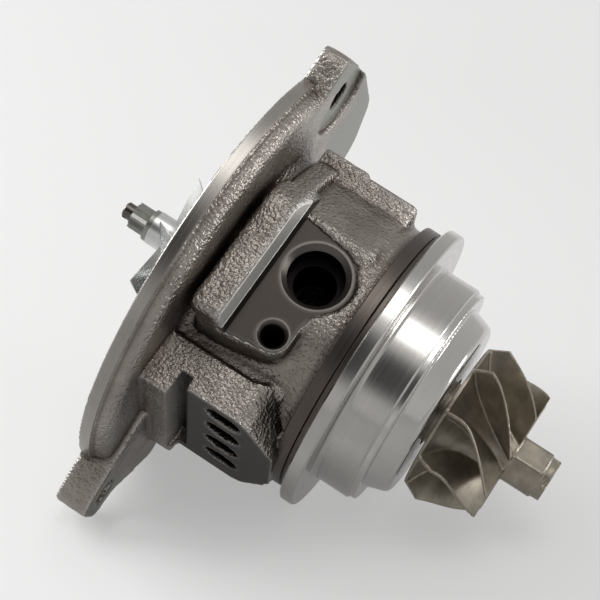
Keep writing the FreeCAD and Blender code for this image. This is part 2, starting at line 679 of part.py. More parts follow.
def bearing_stations():
    """Ends of the two bushes and of the three circlips that hold them."""
    turbine = (-BUSH_TO_RING - BUSH_LENGTH, -BUSH_TO_RING)
    inner_turbine = turbine[0] - BUSH_SIDE_CLEARANCE
    compressor_start = BORE_END_X + COMPRESSOR_BUSH_INSET
    compressor = (compressor_start, compressor_start + BUSH_LENGTH)
    inner_compressor = compressor[1] + BUSH_SIDE_CLEARANCE
    circlips = [
        (inner_turbine - CIRCLIP_THICKNESS, inner_turbine),
        (inner_compressor, inner_compressor + CIRCLIP_THICKNESS),
        (turbine[1] + BUSH_SIDE_CLEARANCE, turbine[1] + BUSH_SIDE_CLEARANCE + CIRCLIP_THICKNESS),
    ]
    return turbine, compressor, circlips


def bored_inside():
    """Everything turned and bored about the shaft axis, as one cutting tool."""
    _, _, circlips = bearing_stations()
    tool = disc(BEARING_BORE, BORE_END_X, 0)
    for start, end in circlips:
        tool = tool.fuse(disc(BEARING_BORE + CIRCLIP_GROOVE_DEPTH, start, end))
    gallery_start = circlips[1][1] + GALLERY_MARGIN
    gallery_end = circlips[0][0] - GALLERY_MARGIN
    tool = tool.fuse(disc(BEARING_BORE + GALLERY_DEPTH, gallery_start, gallery_end))
    tool = tool.fuse(disc(SEAL_HUB_RADIUS + OIL_CAVITY_DEPTH, 0, OIL_CAVITY_LENGTH))
    tool = tool.fuse(disc(TURBINE_SEAL_BORE, OIL_CAVITY_LENGTH, DRUM_LENGTH + NOSE_LENGTH))
    tool = tool.fuse(disc(COLLAR_RADIUS + COLLAR_POCKET_GAP, THRUST_SEAT_X, BORE_END_X))
    tool = tool.fuse(disc(THRUST_RADIUS + THRUST_FIT, SEAL_SEAT_X, THRUST_SEAT_X))
    tool = tool.fuse(disc(SEAL_PLATE_RADIUS + SEAL_PLATE_FIT, FLANGE_FACE_X, SEAL_SEAT_X))
    groove_start = SEAL_FACE_X - SEAL_RETAINER_THICKNESS
    groove = disc(SEAL_PLATE_RADIUS + SEAL_RETAINER_GROOVE, groove_start, SEAL_FACE_X)
    return tool.fuse(groove)


def ports():
    """Coolant ports on both sides, the tapped hole, the oil inlet and its feeds."""
    near = Vector(PORT_X, -PAD_DISTANCE, PORT_Z)
    far = Vector(PORT_X, PORT_FAR_DISTANCE, PORT_Z + PORT_FAR_RISE)
    inward = Vector(0, 1, 0)
    outward = inward * -1
    tools = [drilled(near, inward, PORT_RADIUS, PORT_DEPTH, PORT_CHAMFER)]
    tools.append(drilled(far, outward, PORT_RADIUS, PORT_DEPTH, PORT_FAR_CHAMFER))
    for mouth, way in ((near, inward), (far, outward)):
        floor = mouth + way * PORT_DEPTH
        tools.append(Part.makeCylinder(PORT_STEP_RADIUS, PORT_STEP_DEPTH, floor, way))
    pad_hole = Vector(PAD_HOLE_X, -PAD_DISTANCE, PAD_HOLE_Z)
    tools.append(drilled(pad_hole, inward, PAD_HOLE_RADIUS, PAD_HOLE_DEPTH, PAD_HOLE_CHAMFER))
    down = Vector(0, 0, -1)
    inlet = Vector(OIL_INLET_X, 0, TOP_FLAT)
    tools.append(drilled(inlet, down, OIL_INLET_RADIUS, OIL_INLET_DEPTH, OIL_INLET_CHAMFER))
    turbine, compressor, _ = bearing_stations()
    start = Vector(OIL_INLET_X, 0, TOP_FLAT - OIL_INLET_DEPTH + OIL_FEED_RADIUS)
    for station in (sum(turbine) / 2, sum(compressor) / 2):
        end = Vector(station, 0, BEARING_BORE - OVERRUN / 2)
        way = end - start
        tools.append(Part.makeCylinder(OIL_FEED_RADIUS, way.Length, start, way))
    plug_face = Vector(CORE_PLUG_X, CORE_PLUG_BOSS, CORE_PLUG_Z)
    tools.append(Part.makeCylinder(CORE_PLUG_RADIUS, CORE_PLUG_THICKNESS, plug_face, inward * -1))
    return tools


def window_centres():
    """Places of the drain windows across the drain pad."""
    first = WINDOW_CENTRE_Y - WINDOW_PITCH * (WINDOW_COUNT - 1) / 2
    return [first + WINDOW_PITCH * index for index in range(WINDOW_COUNT)]


def drain_passages():
    """Rounded windows in the drain pad, the chamber behind them and the well to the bearings."""
    tools = []
    floor = -DRAIN_HEIGHT + WINDOW_DEPTH
    start_x = -WINDOW_TO_RING - WINDOW_LENGTH / 2
    end_x = -WINDOW_TO_RING + WINDOW_LENGTH / 2
    half_width = WINDOW_WIDTH / 2
    places = window_centres()
    for centre in places:
        corners = [
            (x, centre + side * half_width, WINDOW_CORNER)
            for x, side in ((start_x, -1), (end_x, -1), (end_x, 1), (start_x, 1))
        ]
        tools.append(plan_prism(corners, -DRAIN_HEIGHT, floor))
    chamber = box(
        start_x, end_x, places[0] - half_width, places[-1] + half_width,
        floor, floor + DRAIN_WELL_HEIGHT,
    )
    well = box(
        start_x, start_x + DRAIN_WELL_LENGTH, -DRAIN_WELL_WIDTH / 2, DRAIN_WELL_WIDTH / 2, floor, 0,
    )
    return tools + [chamber, well]


def boss(x, z, radius, face):
    """Round boss on the far side of the casting."""
    start = Vector(x, face - BOSS_DEPTH, z)
    return Part.makeCylinder(radius, BOSS_DEPTH, start, Vector(0, 1, 0))


def bearing_housing():
    """The whole casting, machined."""
    shape = turned_outside()
    upper, upper_holes = upper_ear()
    lower, lower_hole = lower_ear()
    far_boss = boss(PORT_X, PORT_Z + PORT_FAR_RISE, PORT_LOBE_RADIUS, PORT_FAR_DISTANCE)
    plug_boss = boss(
        CORE_PLUG_X, CORE_PLUG_Z, CORE_PLUG_RADIUS + CORE_PLUG_BOSS_WALL, CORE_PLUG_BOSS)
    for piece in (cast_body(), rib(), side_pad(), drain_base(), upper, lower, far_boss, plug_boss):
        shape = shape.fuse(piece)
    top_flat = box(
        BODY_START_X + TOP_FLAT_START, BODY_END_X + BODY_EDGE_ROUND,
        -TOP_NEAR_EDGE - OVERRUN, TOP_FAR_EDGE + OVERRUN, TOP_FLAT, TOP_HEIGHT + OVERRUN)
    machining = [pad_pocket(), top_flat, upper_holes, lower_hole, bored_inside()]
    for tool in machining + ports() + drain_passages():
        shape = shape.cut(tool)
    return shape.removeSplitter()


def heat_shield():
    """Pressed cup: a thick flange against the drum and a tapered wall to the front plate."""
    flange_x = DRUM_LENGTH + SHIELD_FLANGE_THICKNESS
    inner_root = SHIELD_ROOT_RADIUS - SHIELD_SHEET
    inner_front = SHIELD_FRONT_RADIUS - SHIELD_SHEET
    return turned([
        (DRUM_LENGTH, inner_root, 0),
        (DRUM_LENGTH, SHIELD_FLANGE_RADIUS, 0),
        (flange_x, SHIELD_FLANGE_RADIUS, SHIELD_EDGE_ROUND),
        (flange_x, SHIELD_ROOT_RADIUS, SHIELD_EDGE_ROUND),
        (SHIELD_FRONT_X, SHIELD_FRONT_RADIUS, SHIELD_SHOULDER),
        (SHIELD_FRONT_X, SHIELD_BORE_RADIUS, 0),
        (SHIELD_FRONT_X - SHIELD_SHEET, SHIELD_BORE_RADIUS, 0),
        (SHIELD_FRONT_X - SHIELD_SHEET, inner_front, SHIELD_SHOULDER - SHIELD_SHEET),
    ])


def blade(sections):
    """Lofted blade through sections (hub x, hub r, tip x, tip r, angle, root, tip width)."""
    wires = []
    for hub_x, hub_r, tip_x, tip_r, angle, root, tip in sections:
        out = Vector(0, math.cos(angle), math.sin(angle))
        side = Vector(0, -math.sin(angle), math.cos(angle))
        hub = Vector(hub_x, 0, 0) + out * hub_r
        end = Vector(tip_x, 0, 0) + out * tip_r
        corners = [hub - side * root, end - side * tip, end + side * tip, hub + side * root]
        wires.append(Part.makePolygon(corners + corners[:1]))
    return Part.makeLoft(wires, True, False)


def turbine_envelope():
    """Outer contour that the turbine blades are ground to."""
    back = Vector(TURBINE_BACK_X, 0, 0)
    rim = Vector(TURBINE_BACK_X, 0, TURBINE_BACK_RADIUS)
    inducer = Vector(TURBINE_INDUCER_X, 0, TURBINE_INDUCER_RADIUS)
    exducer = Vector(TURBINE_END_X, 0, TURBINE_EXDUCER_RADIUS)
    middle = (inducer + exducer) / 2 - Vector(0, 0, TURBINE_SHROUD_DIP)
    end = Vector(TURBINE_END_X, 0, 0)
    edges = [
        Part.LineSegment(back, rim).toShape(),
        Part.LineSegment(rim, inducer).toShape(),
        Part.Arc(inducer, middle, exducer).toShape(),
        Part.LineSegment(exducer, end).toShape(),
        Part.LineSegment(end, back).toShape(),
    ]
    return Part.Face(Part.Wire(edges)).revolve(ORIGIN, AXIS, 360)


def turbine_hub():
    """Back disc and hub of the turbine wheel, with the boss that the shaft is welded to."""
    rim_x = TURBINE_BACK_X + TURBINE_BACK_RIM
    points = [
        (WELD_X, 0), (WELD_X, TURBINE_BOSS_RADIUS), (TURBINE_BACK_X, TURBINE_BOSS_RADIUS),
        (TURBINE_BACK_X, TURBINE_BACK_RADIUS), (rim_x, TURBINE_BACK_RADIUS),
    ]
    vectors = [Vector(x, 0, r) for x, r in points]
    edges = [Part.LineSegment(a, b).toShape() for a, b in zip(vectors, vectors[1:])]
    waist_x = TURBINE_BACK_X + TURBINE_LENGTH * TURBINE_HUB_WAIST_SHARE
    waist = Vector(waist_x, 0, TURBINE_HUB_WAIST)
    hub_end = Vector(TURBINE_END_X, 0, TURBINE_HUB_RADIUS)
    edges.append(Part.Arc(vectors[-1], waist, hub_end).toShape())
    centre = Vector(TURBINE_END_X, 0, 0)
    edges.append(Part.LineSegment(hub_end, centre).toShape())
    edges.append(Part.LineSegment(centre, vectors[0]).toShape())
    return Part.Face(Part.Wire(edges)).revolve(ORIGIN, AXIS, 360)


def hex_nose():
    """Balancing hexagon with its notched end ring."""
    corner = HEX_FLATS / 2 / math.cos(math.pi / 6)
    corners = []
    for index in range(6):
        angle = math.radians(60 * index + HEX_PHASE)
        corners.append((corner * math.cos(angle), corner * math.sin(angle), HEX_CORNER))
    end = TURBINE_END_X + HEX_LENGTH
    nose = section_prism(corners, TURBINE_END_X - OVERRUN, end)
    tip = disc(HEX_END_RADIUS, end, end + HEX_END_LENGTH)
    for index in range(NOTCHES):
        notch = box(
            end + HEX_END_LENGTH - NOTCH_DEPTH, end + HEX_END_LENGTH,
            -NOTCH_WIDTH / 2, NOTCH_WIDTH / 2, HEX_END_RADIUS - NOTCH_DEPTH, HEX_END_RADIUS)
        tip = tip.cut(spun(notch, 360 * index / NOTCHES + NOTCH_TURN))
    return nose.fuse(tip)


def turbine_wheel():
    """Radial-inflow wheel: straight at the inducer, curled at the exducer."""
    sections = []
    steps = TURBINE_BLADE_STATIONS
    start = TURBINE_BACK_X - OVERRUN / 2
    for step in range(steps):
        x = start + (TURBINE_LENGTH + OVERRUN) * step / (steps - 1)
        past = max(0.0, (x - TURBINE_INDUCER_X) / (TURBINE_END_X - TURBINE_INDUCER_X))
        angle = math.radians(TURBINE_PHASE + TURBINE_TWIST * past ** TURBINE_TWIST_POWER)
        reach = TURBINE_INDUCER_RADIUS + OVERRUN
        sections.append((
            x, TURBINE_HUB_RADIUS / 2, x, reach, angle,
            TURBINE_BLADE_ROOT / 2, TURBINE_BLADE_TIP / 2))
    one = blade(sections).common(turbine_envelope())
    wheel = turbine_hub()
    for index in range(TURBINE_BLADES):
        wheel = wheel.fuse(spun(one, 360 * index / TURBINE_BLADES))
    return wheel.fuse(hex_nose())


def compressor_curve(turn, tip):
    """Hub or tip contour of the compressor wheel as a quarter ellipse; turn is 0 to 90 degrees."""
    exit_x = COMPRESSOR_BACK_X - COMPRESSOR_BACK
    start_x = COMPRESSOR_FRONT_X + COMPRESSOR_NOSE
    inner = COMPRESSOR_HUB_RADIUS
    if tip:
        exit_x -= COMPRESSOR_EXIT_WIDTH
        inner = COMPRESSOR_INDUCER_RADIUS
    x = start_x + (exit_x - start_x) * math.sin(turn)
    r = COMPRESSOR_RADIUS - (COMPRESSOR_RADIUS - inner) * math.cos(turn)
    return x, r


def compressor_blade(start):
    """Full blade, or a splitter when it starts part of the way along."""
    sections = []
    steps = COMPRESSOR_BLADE_STATIONS
    for step in range(steps):
        share = start + (1 - start) * step / (steps - 1)
        turn = math.radians(90 * share)
        hub_x, hub_r = compressor_curve(turn, False)
        tip_x, tip_r = compressor_curve(turn, True)
        lead = COMPRESSOR_WRAP * (1 - share) ** COMPRESSOR_WRAP_POWER
        wrap = COMPRESSOR_BACKSWEEP * share ** 2 - lead
        root_x = hub_x + COMPRESSOR_ROOT_SINK * math.sin(turn)
        root_r = hub_r - COMPRESSOR_ROOT_SINK * math.cos(turn)
        sections.append((
            root_x, root_r, tip_x, tip_r, math.radians(wrap),
            COMPRESSOR_BLADE_ROOT / 2, COMPRESSOR_BLADE_TIP / 2))
    return blade(sections)


def compressor_wheel():
    """Aluminium impeller with full blades and splitters between them."""
    hub = []
    for step in range(COMPRESSOR_BLADE_STATIONS + 1):
        x, r = compressor_curve(math.radians(90 * step / COMPRESSOR_BLADE_STATIONS), False)
        hub.append(Vector(x, 0, r))
    curve = Part.BSplineCurve()
    curve.interpolate(hub)
    bore = STUB_RADIUS
    boss_x = SEAL_FACE_X - SLEEVE_END_PROUD
    points = [
        (COMPRESSOR_BACK_X, COMPRESSOR_RADIUS), (COMPRESSOR_BACK_X, COMPRESSOR_BOSS_RADIUS),
        (boss_x, COMPRESSOR_BOSS_RADIUS), (boss_x, bore), (COMPRESSOR_FRONT_X, bore),
        (COMPRESSOR_FRONT_X, COMPRESSOR_HUB_RADIUS),
    ]
    vectors = [hub[-1]] + [Vector(x, 0, r) for x, r in points] + [hub[0]]
    edges = [curve.toShape()]
    for a, b in zip(vectors, vectors[1:]):
        edges.append(Part.LineSegment(a, b).toShape())
    wheel = Part.Face(Part.Wire(edges)).revolve(ORIGIN, AXIS, 360)
    cutter = disc(COMPRESSOR_RADIUS, COMPRESSOR_FRONT_X, COMPRESSOR_BACK_X)
    full = compressor_blade(0.0).common(cutter)
    splitter = compressor_blade(COMPRESSOR_SPLITTER_START).common(cutter)
    for index in range(COMPRESSOR_BLADES):
        angle = 360 * index / COMPRESSOR_BLADES
        wheel = wheel.fuse(spun(full, angle))
        wheel = wheel.fuse(spun(splitter, angle + 180 / COMPRESSOR_BLADES))
    return wheel


def shaft():
    """Shaft with its seal hub, journals, stub for the compressor side and slotted tip."""
    groove_half = PISTON_RING_WIDTH / 2 + PISTON_RING_SIDE
    groove_floor = TURBINE_SEAL_BORE - PISTON_RING_DEPTH - PISTON_RING_FLOOR_GAP
    shape = turned(plain([
        (SHAFT_TIP_X, 0), (SHAFT_TIP_X, THREAD_RADIUS - TIP_CHAMFER),
        (SHAFT_TIP_X + TIP_CHAMFER, THREAD_RADIUS),
        (COMPRESSOR_FRONT_X, THREAD_RADIUS), (COMPRESSOR_FRONT_X, STUB_RADIUS),
        (COLLAR_END_X, STUB_RADIUS), (COLLAR_END_X, JOURNAL_RADIUS),
        (SEAL_HUB_START, JOURNAL_RADIUS), (SEAL_HUB_START, SEAL_HUB_RADIUS),
        (TURBINE_RING_X - groove_half, SEAL_HUB_RADIUS), (TURBINE_RING_X - groove_half, groove_floor),
        (TURBINE_RING_X + groove_half, groove_floor), (TURBINE_RING_X + groove_half, SEAL_HUB_RADIUS),
        (WELD_X, SEAL_HUB_RADIUS), (WELD_X, 0),
    ]))
    slot = box(
        SHAFT_TIP_X, SHAFT_TIP_X + TIP_SLOT_DEPTH, -TIP_SLOT_WIDTH / 2, TIP_SLOT_WIDTH / 2,
        -THREAD_RADIUS, THREAD_RADIUS)
    return shape.cut(slot)


def shaft_nut():
    """Flanged nut with points all round."""
    corners = []
    for index in range(NUT_POINTS * 2):
        angle = math.pi * index / NUT_POINTS
        radius = NUT_RADIUS - NUT_POINT_DEPTH * (index % 2)
        corners.append((radius * math.cos(angle), radius * math.sin(angle), 0))
    flange_end = COMPRESSOR_FRONT_X - NUT_FLANGE_THICKNESS
    body = section_prism(corners, NUT_END_X, COMPRESSOR_FRONT_X)
    flange = disc(NUT_FLANGE_RADIUS, flange_end, COMPRESSOR_FRONT_X)
    return body.fuse(flange).cut(disc(THREAD_RADIUS, NUT_END_X, COMPRESSOR_FRONT_X))


def journal_bush(start, end):
    """Floating bush with a ring of oil holes."""
    bore = JOURNAL_RADIUS + BUSH_INNER_CLEARANCE
    shape = disc(BUSH_RADIUS, start, end).cut(disc(bore, start, end))
    middle = (start + end) / 2
    for index in range(BUSH_HOLES):
        hole = Part.makeCylinder(BUSH_HOLE_RADIUS, BUSH_RADIUS, Vector(middle, 0, 0), Vector(0, 0, 1))
        shape = shape.cut(spun(hole, 360 * index / BUSH_HOLES + BUSH_HOLE_PHASE))
    return shape


def bearing_circlips():
    """The three snap rings in the bearing bore."""
    _, _, circlips = bearing_stations()
    outer = BEARING_BORE + CIRCLIP_GROOVE_DEPTH
    rings = [
        split_ring(outer, outer - CIRCLIP_WIDTH, start, end, CIRCLIP_GAP, CIRCLIP_TURN * index)
        for index, (start, end) in enumerate(circlips)
    ]
    return Part.makeCompound(rings)


def thrust_collar():
    """Spool that carries the thrust faces."""
    waist_start = COLLAR_START_X + COLLAR_FLANGE
    waist_end = COLLAR_END_X - COLLAR_FLANGE
    return turned(plain([
        (COLLAR_START_X, STUB_RADIUS), (COLLAR_START_X, COLLAR_RADIUS),
        (waist_start, COLLAR_RADIUS), (waist_start, COLLAR_WAIST_RADIUS),
        (waist_end, COLLAR_WAIST_RADIUS), (waist_end, COLLAR_RADIUS),
        (COLLAR_END_X, COLLAR_RADIUS), (COLLAR_END_X, STUB_RADIUS),
    ]))


def thrust_pins_at():
    """Places of the two pins that stop the thrust bearing turning."""
    reach = THRUST_RADIUS - THRUST_PIN_INSET
    return [Vector(0, side * reach, THRUST_PIN_HEIGHT) for side in (-1, 1)]


def thrust_pin(place):
    """One locating pin, half in the housing and half in the thrust bearing."""
    start = Vector(THRUST_FACE_X, place.y, place.z)
    return Part.makeCylinder(THRUST_PIN_RADIUS, THRUST_PIN_LENGTH, start, AXIS)


def thrust_bearing():
    """Bronze plate slid over the collar's waist from below, so it is open at the foot."""
    plate = disc(THRUST_RADIUS, THRUST_FACE_X, THRUST_SEAT_X)
    plate = plate.cut(disc(THRUST_BORE_RADIUS, THRUST_FACE_X, THRUST_SEAT_X))
    mouth = box(
        THRUST_FACE_X, THRUST_SEAT_X, -THRUST_BORE_RADIUS, THRUST_BORE_RADIUS, -THRUST_RADIUS, 0)
    plate = plate.cut(mouth)
    for place in thrust_pins_at():
        plate = plate.cut(thrust_pin(place))
    return plate


def oil_deflector():
    """Thin plate beside the thrust bearing with a tongue bent towards the drain."""
    outer = THRUST_RADIUS
    plate = disc(outer, DEFLECTOR_FACE_X, THRUST_FACE_X)
    plate = plate.cut(disc(DEFLECTOR_BORE_RADIUS, DEFLECTOR_FACE_X, THRUST_FACE_X))
    half = DEFLECTOR_TONGUE_WIDTH / 2
    top = -DEFLECTOR_BORE_RADIUS - DEFLECTOR_TONGUE_TOP
    for start, end in ((-outer, -half), (half, outer)):
        plate = plate.cut(box(DEFLECTOR_FACE_X, THRUST_FACE_X, start, end, -outer, top))
    return plate


def flinger_sleeve():
    """Sleeve with the flinger disc and the groove for the compressor piston ring."""
    half = PISTON_RING_WIDTH / 2 + PISTON_RING_SIDE
    floor = SEAL_PLATE_BORE - PISTON_RING_DEPTH - PISTON_RING_FLOOR_GAP
    start = SEAL_FACE_X - SLEEVE_END_PROUD
    return turned(plain([
        (start, STUB_RADIUS), (start, SLEEVE_RADIUS),
        (COMPRESSOR_RING_X - half, SLEEVE_RADIUS), (COMPRESSOR_RING_X - half, floor),
        (COMPRESSOR_RING_X + half, floor), (COMPRESSOR_RING_X + half, SLEEVE_RADIUS),
        (FLINGER_X, SLEEVE_RADIUS), (FLINGER_X, FLINGER_RADIUS),
        (COLLAR_START_X, FLINGER_RADIUS), (COLLAR_START_X, STUB_RADIUS),
    ]))


def seal_plate():
    """Plate that closes the bearing space, with its sealing groove and flinger relief."""
    groove_x = (SEAL_FACE_X + SEAL_SEAT_X) / 2
    half = O_RING_SECTION / 2
    floor = SEAL_PLATE_RADIUS - O_RING_SECTION
    return turned(plain([
        (SEAL_FACE_X, SEAL_PLATE_BORE), (SEAL_FACE_X, SEAL_PLATE_RADIUS),
        (groove_x - half, SEAL_PLATE_RADIUS), (groove_x - half, floor),
        (groove_x + half, floor), (groove_x + half, SEAL_PLATE_RADIUS),
        (SEAL_SEAT_X, SEAL_PLATE_RADIUS), (SEAL_SEAT_X, SEAL_PLATE_RELIEF_RADIUS),
        (SEAL_SEAT_X - SEAL_PLATE_RELIEF_DEPTH, SEAL_PLATE_RELIEF_RADIUS),
        (SEAL_SEAT_X - SEAL_PLATE_RELIEF_DEPTH, SEAL_PLATE_BORE),
    ]))


def seal_plate_o_ring():
    """Rubber ring, squeezed flush with the plate's edge, so its section is nearly square."""
    centre = (SEAL_FACE_X + SEAL_SEAT_X) / 2
    half = O_RING_SECTION / 2
    middle = SEAL_PLATE_RADIUS - half
    flat = half - O_RING_BEVEL
    return turned(plain([
        (centre - half, middle - flat), (centre - half, middle + flat),
        (centre - flat, middle + half), (centre + flat, middle + half),
        (centre + half, middle + flat), (centre + half, middle - flat),
        (centre + flat, middle - half), (centre - flat, middle - half),
    ]))


def seal_plate_retainer():
    """Internal snap ring in the groove in front of the seal plate."""
    outer = SEAL_PLATE_RADIUS + SEAL_RETAINER_GROOVE
    start = SEAL_FACE_X - SEAL_RETAINER_THICKNESS
    inner = SEAL_PLATE_RADIUS - SEAL_RETAINER_LIP
    return split_ring(outer, inner, start, SEAL_FACE_X, SEAL_RETAINER_OPENING, 0)


def piston_ring(bore, centre, angle):
    """Small split ring that springs out against the bore."""
    start = centre - PISTON_RING_WIDTH / 2
    end = centre + PISTON_RING_WIDTH / 2
    return split_ring(bore, bore - PISTON_RING_DEPTH, start, end, PISTON_RING_GAP, angle)


def core_plug():
    """Dished disc pressed into the casting's core hole."""
    out = Vector(0, 1, 0)
    start = Vector(CORE_PLUG_X, CORE_PLUG_BOSS - CORE_PLUG_THICKNESS, CORE_PLUG_Z)
    height = CORE_PLUG_THICKNESS - CORE_PLUG_SINK
    plug = Part.makeCylinder(CORE_PLUG_RADIUS, height, start, out)
    hollow = start + out * (height - CORE_PLUG_DISH)
    return plug.cut(Part.makeCylinder(CORE_PLUG_RADIUS - CORE_PLUG_RIM, CORE_PLUG_DISH, hollow, out))


def all_nodes():
    """Every node by name, in the shaft frame."""
    turbine, compressor, _ = bearing_stations()
    housing = bearing_housing()
    pins = [thrust_pin(place) for place in thrust_pins_at()]
    for pin in pins:
        housing = housing.cut(pin)
    return {
        "bearing_housing": housing,
        "heat_shield": heat_shield(),
        "core_plug": core_plug(),
        "turbine_wheel": turbine_wheel(),
        "shaft": shaft(),
        "turbine_journal_bush": journal_bush(*turbine),
        "compressor_journal_bush": journal_bush(*compressor),
        "bearing_circlips": bearing_circlips(),
        "thrust_collar": thrust_collar(),
        "thrust_bearing": thrust_bearing(),
        "thrust_pins": Part.makeCompound(pins),
        "oil_deflector": oil_deflector(),
        "flinger_sleeve": flinger_sleeve(),
        "seal_plate": seal_plate(),
        "seal_plate_o_ring": seal_plate_o_ring(),
        "seal_plate_retainer": seal_plate_retainer(),
        "turbine_piston_ring": piston_ring(TURBINE_SEAL_BORE, TURBINE_RING_X, TURBINE_RING_TURN),
        "compressor_piston_ring": piston_ring(
            SEAL_PLATE_BORE, COMPRESSOR_RING_X, COMPRESSOR_RING_TURN),
        "compressor_wheel": compressor_wheel(),
        "shaft_nut": shaft_nut(),
    }


def bench_pose(nodes):
    """Placement that lays the cartridge down, with the origin under its middle."""
    roll = FreeCAD.Rotation(AXIS, ROLL_ANGLE)
    lean = FreeCAD.Rotation(Vector(0, 1, 0), LEAN_ANGLE)
    turn = lean.multiply(roll)
    pose = FreeCAD.Placement(ORIGIN, turn)
    bounds = None
    for shape in nodes.values():
        laid = shape.copy()
        laid.transformShape(pose.Matrix)
        extent = laid.optimalBoundingBox(False, False)
        if bounds is None:
            bounds = extent
        else:
            bounds.add(extent)
    shift = Vector(-bounds.Center.x, -bounds.Center.y, -bounds.ZMin)
    return FreeCAD.Placement(shift, turn)


def main():
    os.makedirs("parts", exist_ok=True)
    nodes = all_nodes()
    pose = bench_pose(nodes)
    for name, shape in nodes.items():
        laid = shape.copy()
        laid.transformShape(pose.Matrix)
        laid.exportStep("parts/" + name + ".step")
        print(name, len(shape.Solids), shape.isValid(), round(shape.Volume, 1))
    print("pose", pose)


main()
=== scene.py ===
import itertools
import json
import math

import bpy
import numpy as np
from mathutils import Matrix, Vector

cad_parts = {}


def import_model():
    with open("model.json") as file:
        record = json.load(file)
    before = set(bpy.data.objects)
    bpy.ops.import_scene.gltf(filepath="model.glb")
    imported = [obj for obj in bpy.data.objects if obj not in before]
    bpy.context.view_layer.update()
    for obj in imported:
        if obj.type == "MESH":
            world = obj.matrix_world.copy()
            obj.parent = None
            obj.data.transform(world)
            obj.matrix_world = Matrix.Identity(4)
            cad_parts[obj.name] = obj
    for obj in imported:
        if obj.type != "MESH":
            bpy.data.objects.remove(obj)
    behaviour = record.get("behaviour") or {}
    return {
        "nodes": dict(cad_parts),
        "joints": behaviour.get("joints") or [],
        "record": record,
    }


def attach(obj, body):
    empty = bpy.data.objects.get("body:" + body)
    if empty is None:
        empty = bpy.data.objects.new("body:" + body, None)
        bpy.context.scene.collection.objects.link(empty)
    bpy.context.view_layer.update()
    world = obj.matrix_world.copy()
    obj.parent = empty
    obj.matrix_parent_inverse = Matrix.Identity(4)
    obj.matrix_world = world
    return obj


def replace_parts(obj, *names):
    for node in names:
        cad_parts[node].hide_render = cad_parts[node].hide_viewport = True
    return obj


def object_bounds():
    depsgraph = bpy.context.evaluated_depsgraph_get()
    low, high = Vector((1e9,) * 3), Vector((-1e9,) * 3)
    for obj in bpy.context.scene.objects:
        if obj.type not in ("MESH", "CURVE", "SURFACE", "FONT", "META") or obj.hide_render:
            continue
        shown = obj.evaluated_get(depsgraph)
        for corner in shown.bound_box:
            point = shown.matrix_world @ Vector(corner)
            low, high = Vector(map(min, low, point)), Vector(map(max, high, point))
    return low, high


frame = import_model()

# The cartridge's looks. Pieces are shaped in the shaft frame, in millimetres: +X along the
# shaft towards the turbine wheel, X = 0 on the clamp ring's turbine face, +Z up through the
# oil inlet, -Y out of the milled side pad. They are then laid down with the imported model.

CAD_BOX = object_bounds()
MM = 0.001
RECORD = frame["record"]
MOUNTS = {mount["name"]: mount for mount in RECORD["mounts"]}
SPIN = next(joint for joint in frame["joints"] if joint["name"] == "rotor_spin")


def laid_pose():
    """Matrix from shaft millimetres to the row frame in metres."""
    along = Vector(SPIN["axis"]).normalized()
    side = -Vector(MOUNTS["coolant_port_pad_side"]["axis"])
    up = along.cross(side).normalized()
    side = up.cross(along)
    turn = Matrix((along, side, up)).transposed().to_4x4()
    return Matrix.Translation(SPIN["pos_m"]) @ turn @ Matrix.Scale(MM, 4)


TO_ROW = laid_pose()
TO_SHAFT = TO_ROW.inverted()


def place_of(name):
    """Middle of a mount in shaft millimetres."""
    return TO_SHAFT @ Vector(MOUNTS[name]["pos_m"])


def size_of(name, key):
    """One size of a mount in millimetres."""
    return MOUNTS[name]["dims"][key]


# Machined sizes that the record holds
FLANGE_FACE_X = place_of("compressor_face").x
RING_RADIUS = size_of("turbine_clamp_ring", "r_mm")
DRUM_RADIUS = size_of("turbine_register", "r_mm")
PAD_Y = place_of("pad_face").y
PORT = place_of("coolant_port_pad_side")
PORT_RADIUS = size_of("coolant_port_pad_side", "r_mm")
SCREW = place_of("pad_screw_hole")
SCREW_RADIUS = size_of("pad_screw_hole", "r_mm")
SCREW_DEPTH = size_of("pad_screw_hole", "length_mm")
DRAIN_Z = place_of("oil_drain_face").z
UPPER_HOLE = place_of("upper_ear_hole")
LOWER_HOLE = place_of("lower_ear_hole")
EAR_HOLE_RADIUS = size_of("upper_ear_hole", "r_mm")

# Machined sizes between them
RIM_RADIUS = 51.5
RIM_WIDTH = 2.9
RIM_STEP = 0.9
FLANGE_THICKNESS = 6.4
RING_WIDTH = 3.4
DRUM_LENGTH = 9.3
NECK_RADIUS = 31.1
LAND_PROUD = 1.9
LAND_START_X = -7.8
LAND_END_X = -4.8
PAD_WALL_X = -30.1
# Width of the milled wall's foot, next to the pad, that takes the pad's painted shade
WALL_FOOT_SHADE = 2.6
WALL_FLARE = 2.0
RIB_CREST_Y = -37.0
RIB_BACK_X = -35.8
RIB_SPREAD = 1.4
TOP_Z = 30.0
LOWER_EAR_X = -36.9
SPOTFACE_X = -39.8
SPOTFACE_RADIUS = 9.5
PORT_LOBE_RADIUS = 9.0
PAD_LOBE_RADIUS = 4.4
WINDOWS_X = (-23.8, -15.2)
WINDOWS_Y = (-22.3, 13.9)
SLOT_X = (-31.8, -28.8)
SLOT_Y = (-26.0, 16.0)
SLOT_FLOOR_Z = -31.0
PORT_CHAMFER = 1.2
PORT_DEPTH = 6.0
PORT_STEP = 1.6
PORT_STEP_DEPTH = 10.5
SCREW_CHAMFER = 0.8
THREAD_PITCH = 1.0
THREAD_DEPTH = 0.5

# Lathe pieces over the casting
FRONT_INNER_RADIUS = 24.0
FRONT_EDGE = 0.4
LAND_GROOVE_DEPTH = 1.1
LAND_UNDER_RING = 0.2
RIM_LIFT = 0.02
RIM_EDGE = 0.3
LINING_LIP = 0.01
LINING_WALL = 0.5
THREAD_ROOT_AT = 0.45
THREAD_CREST_AT = 0.9

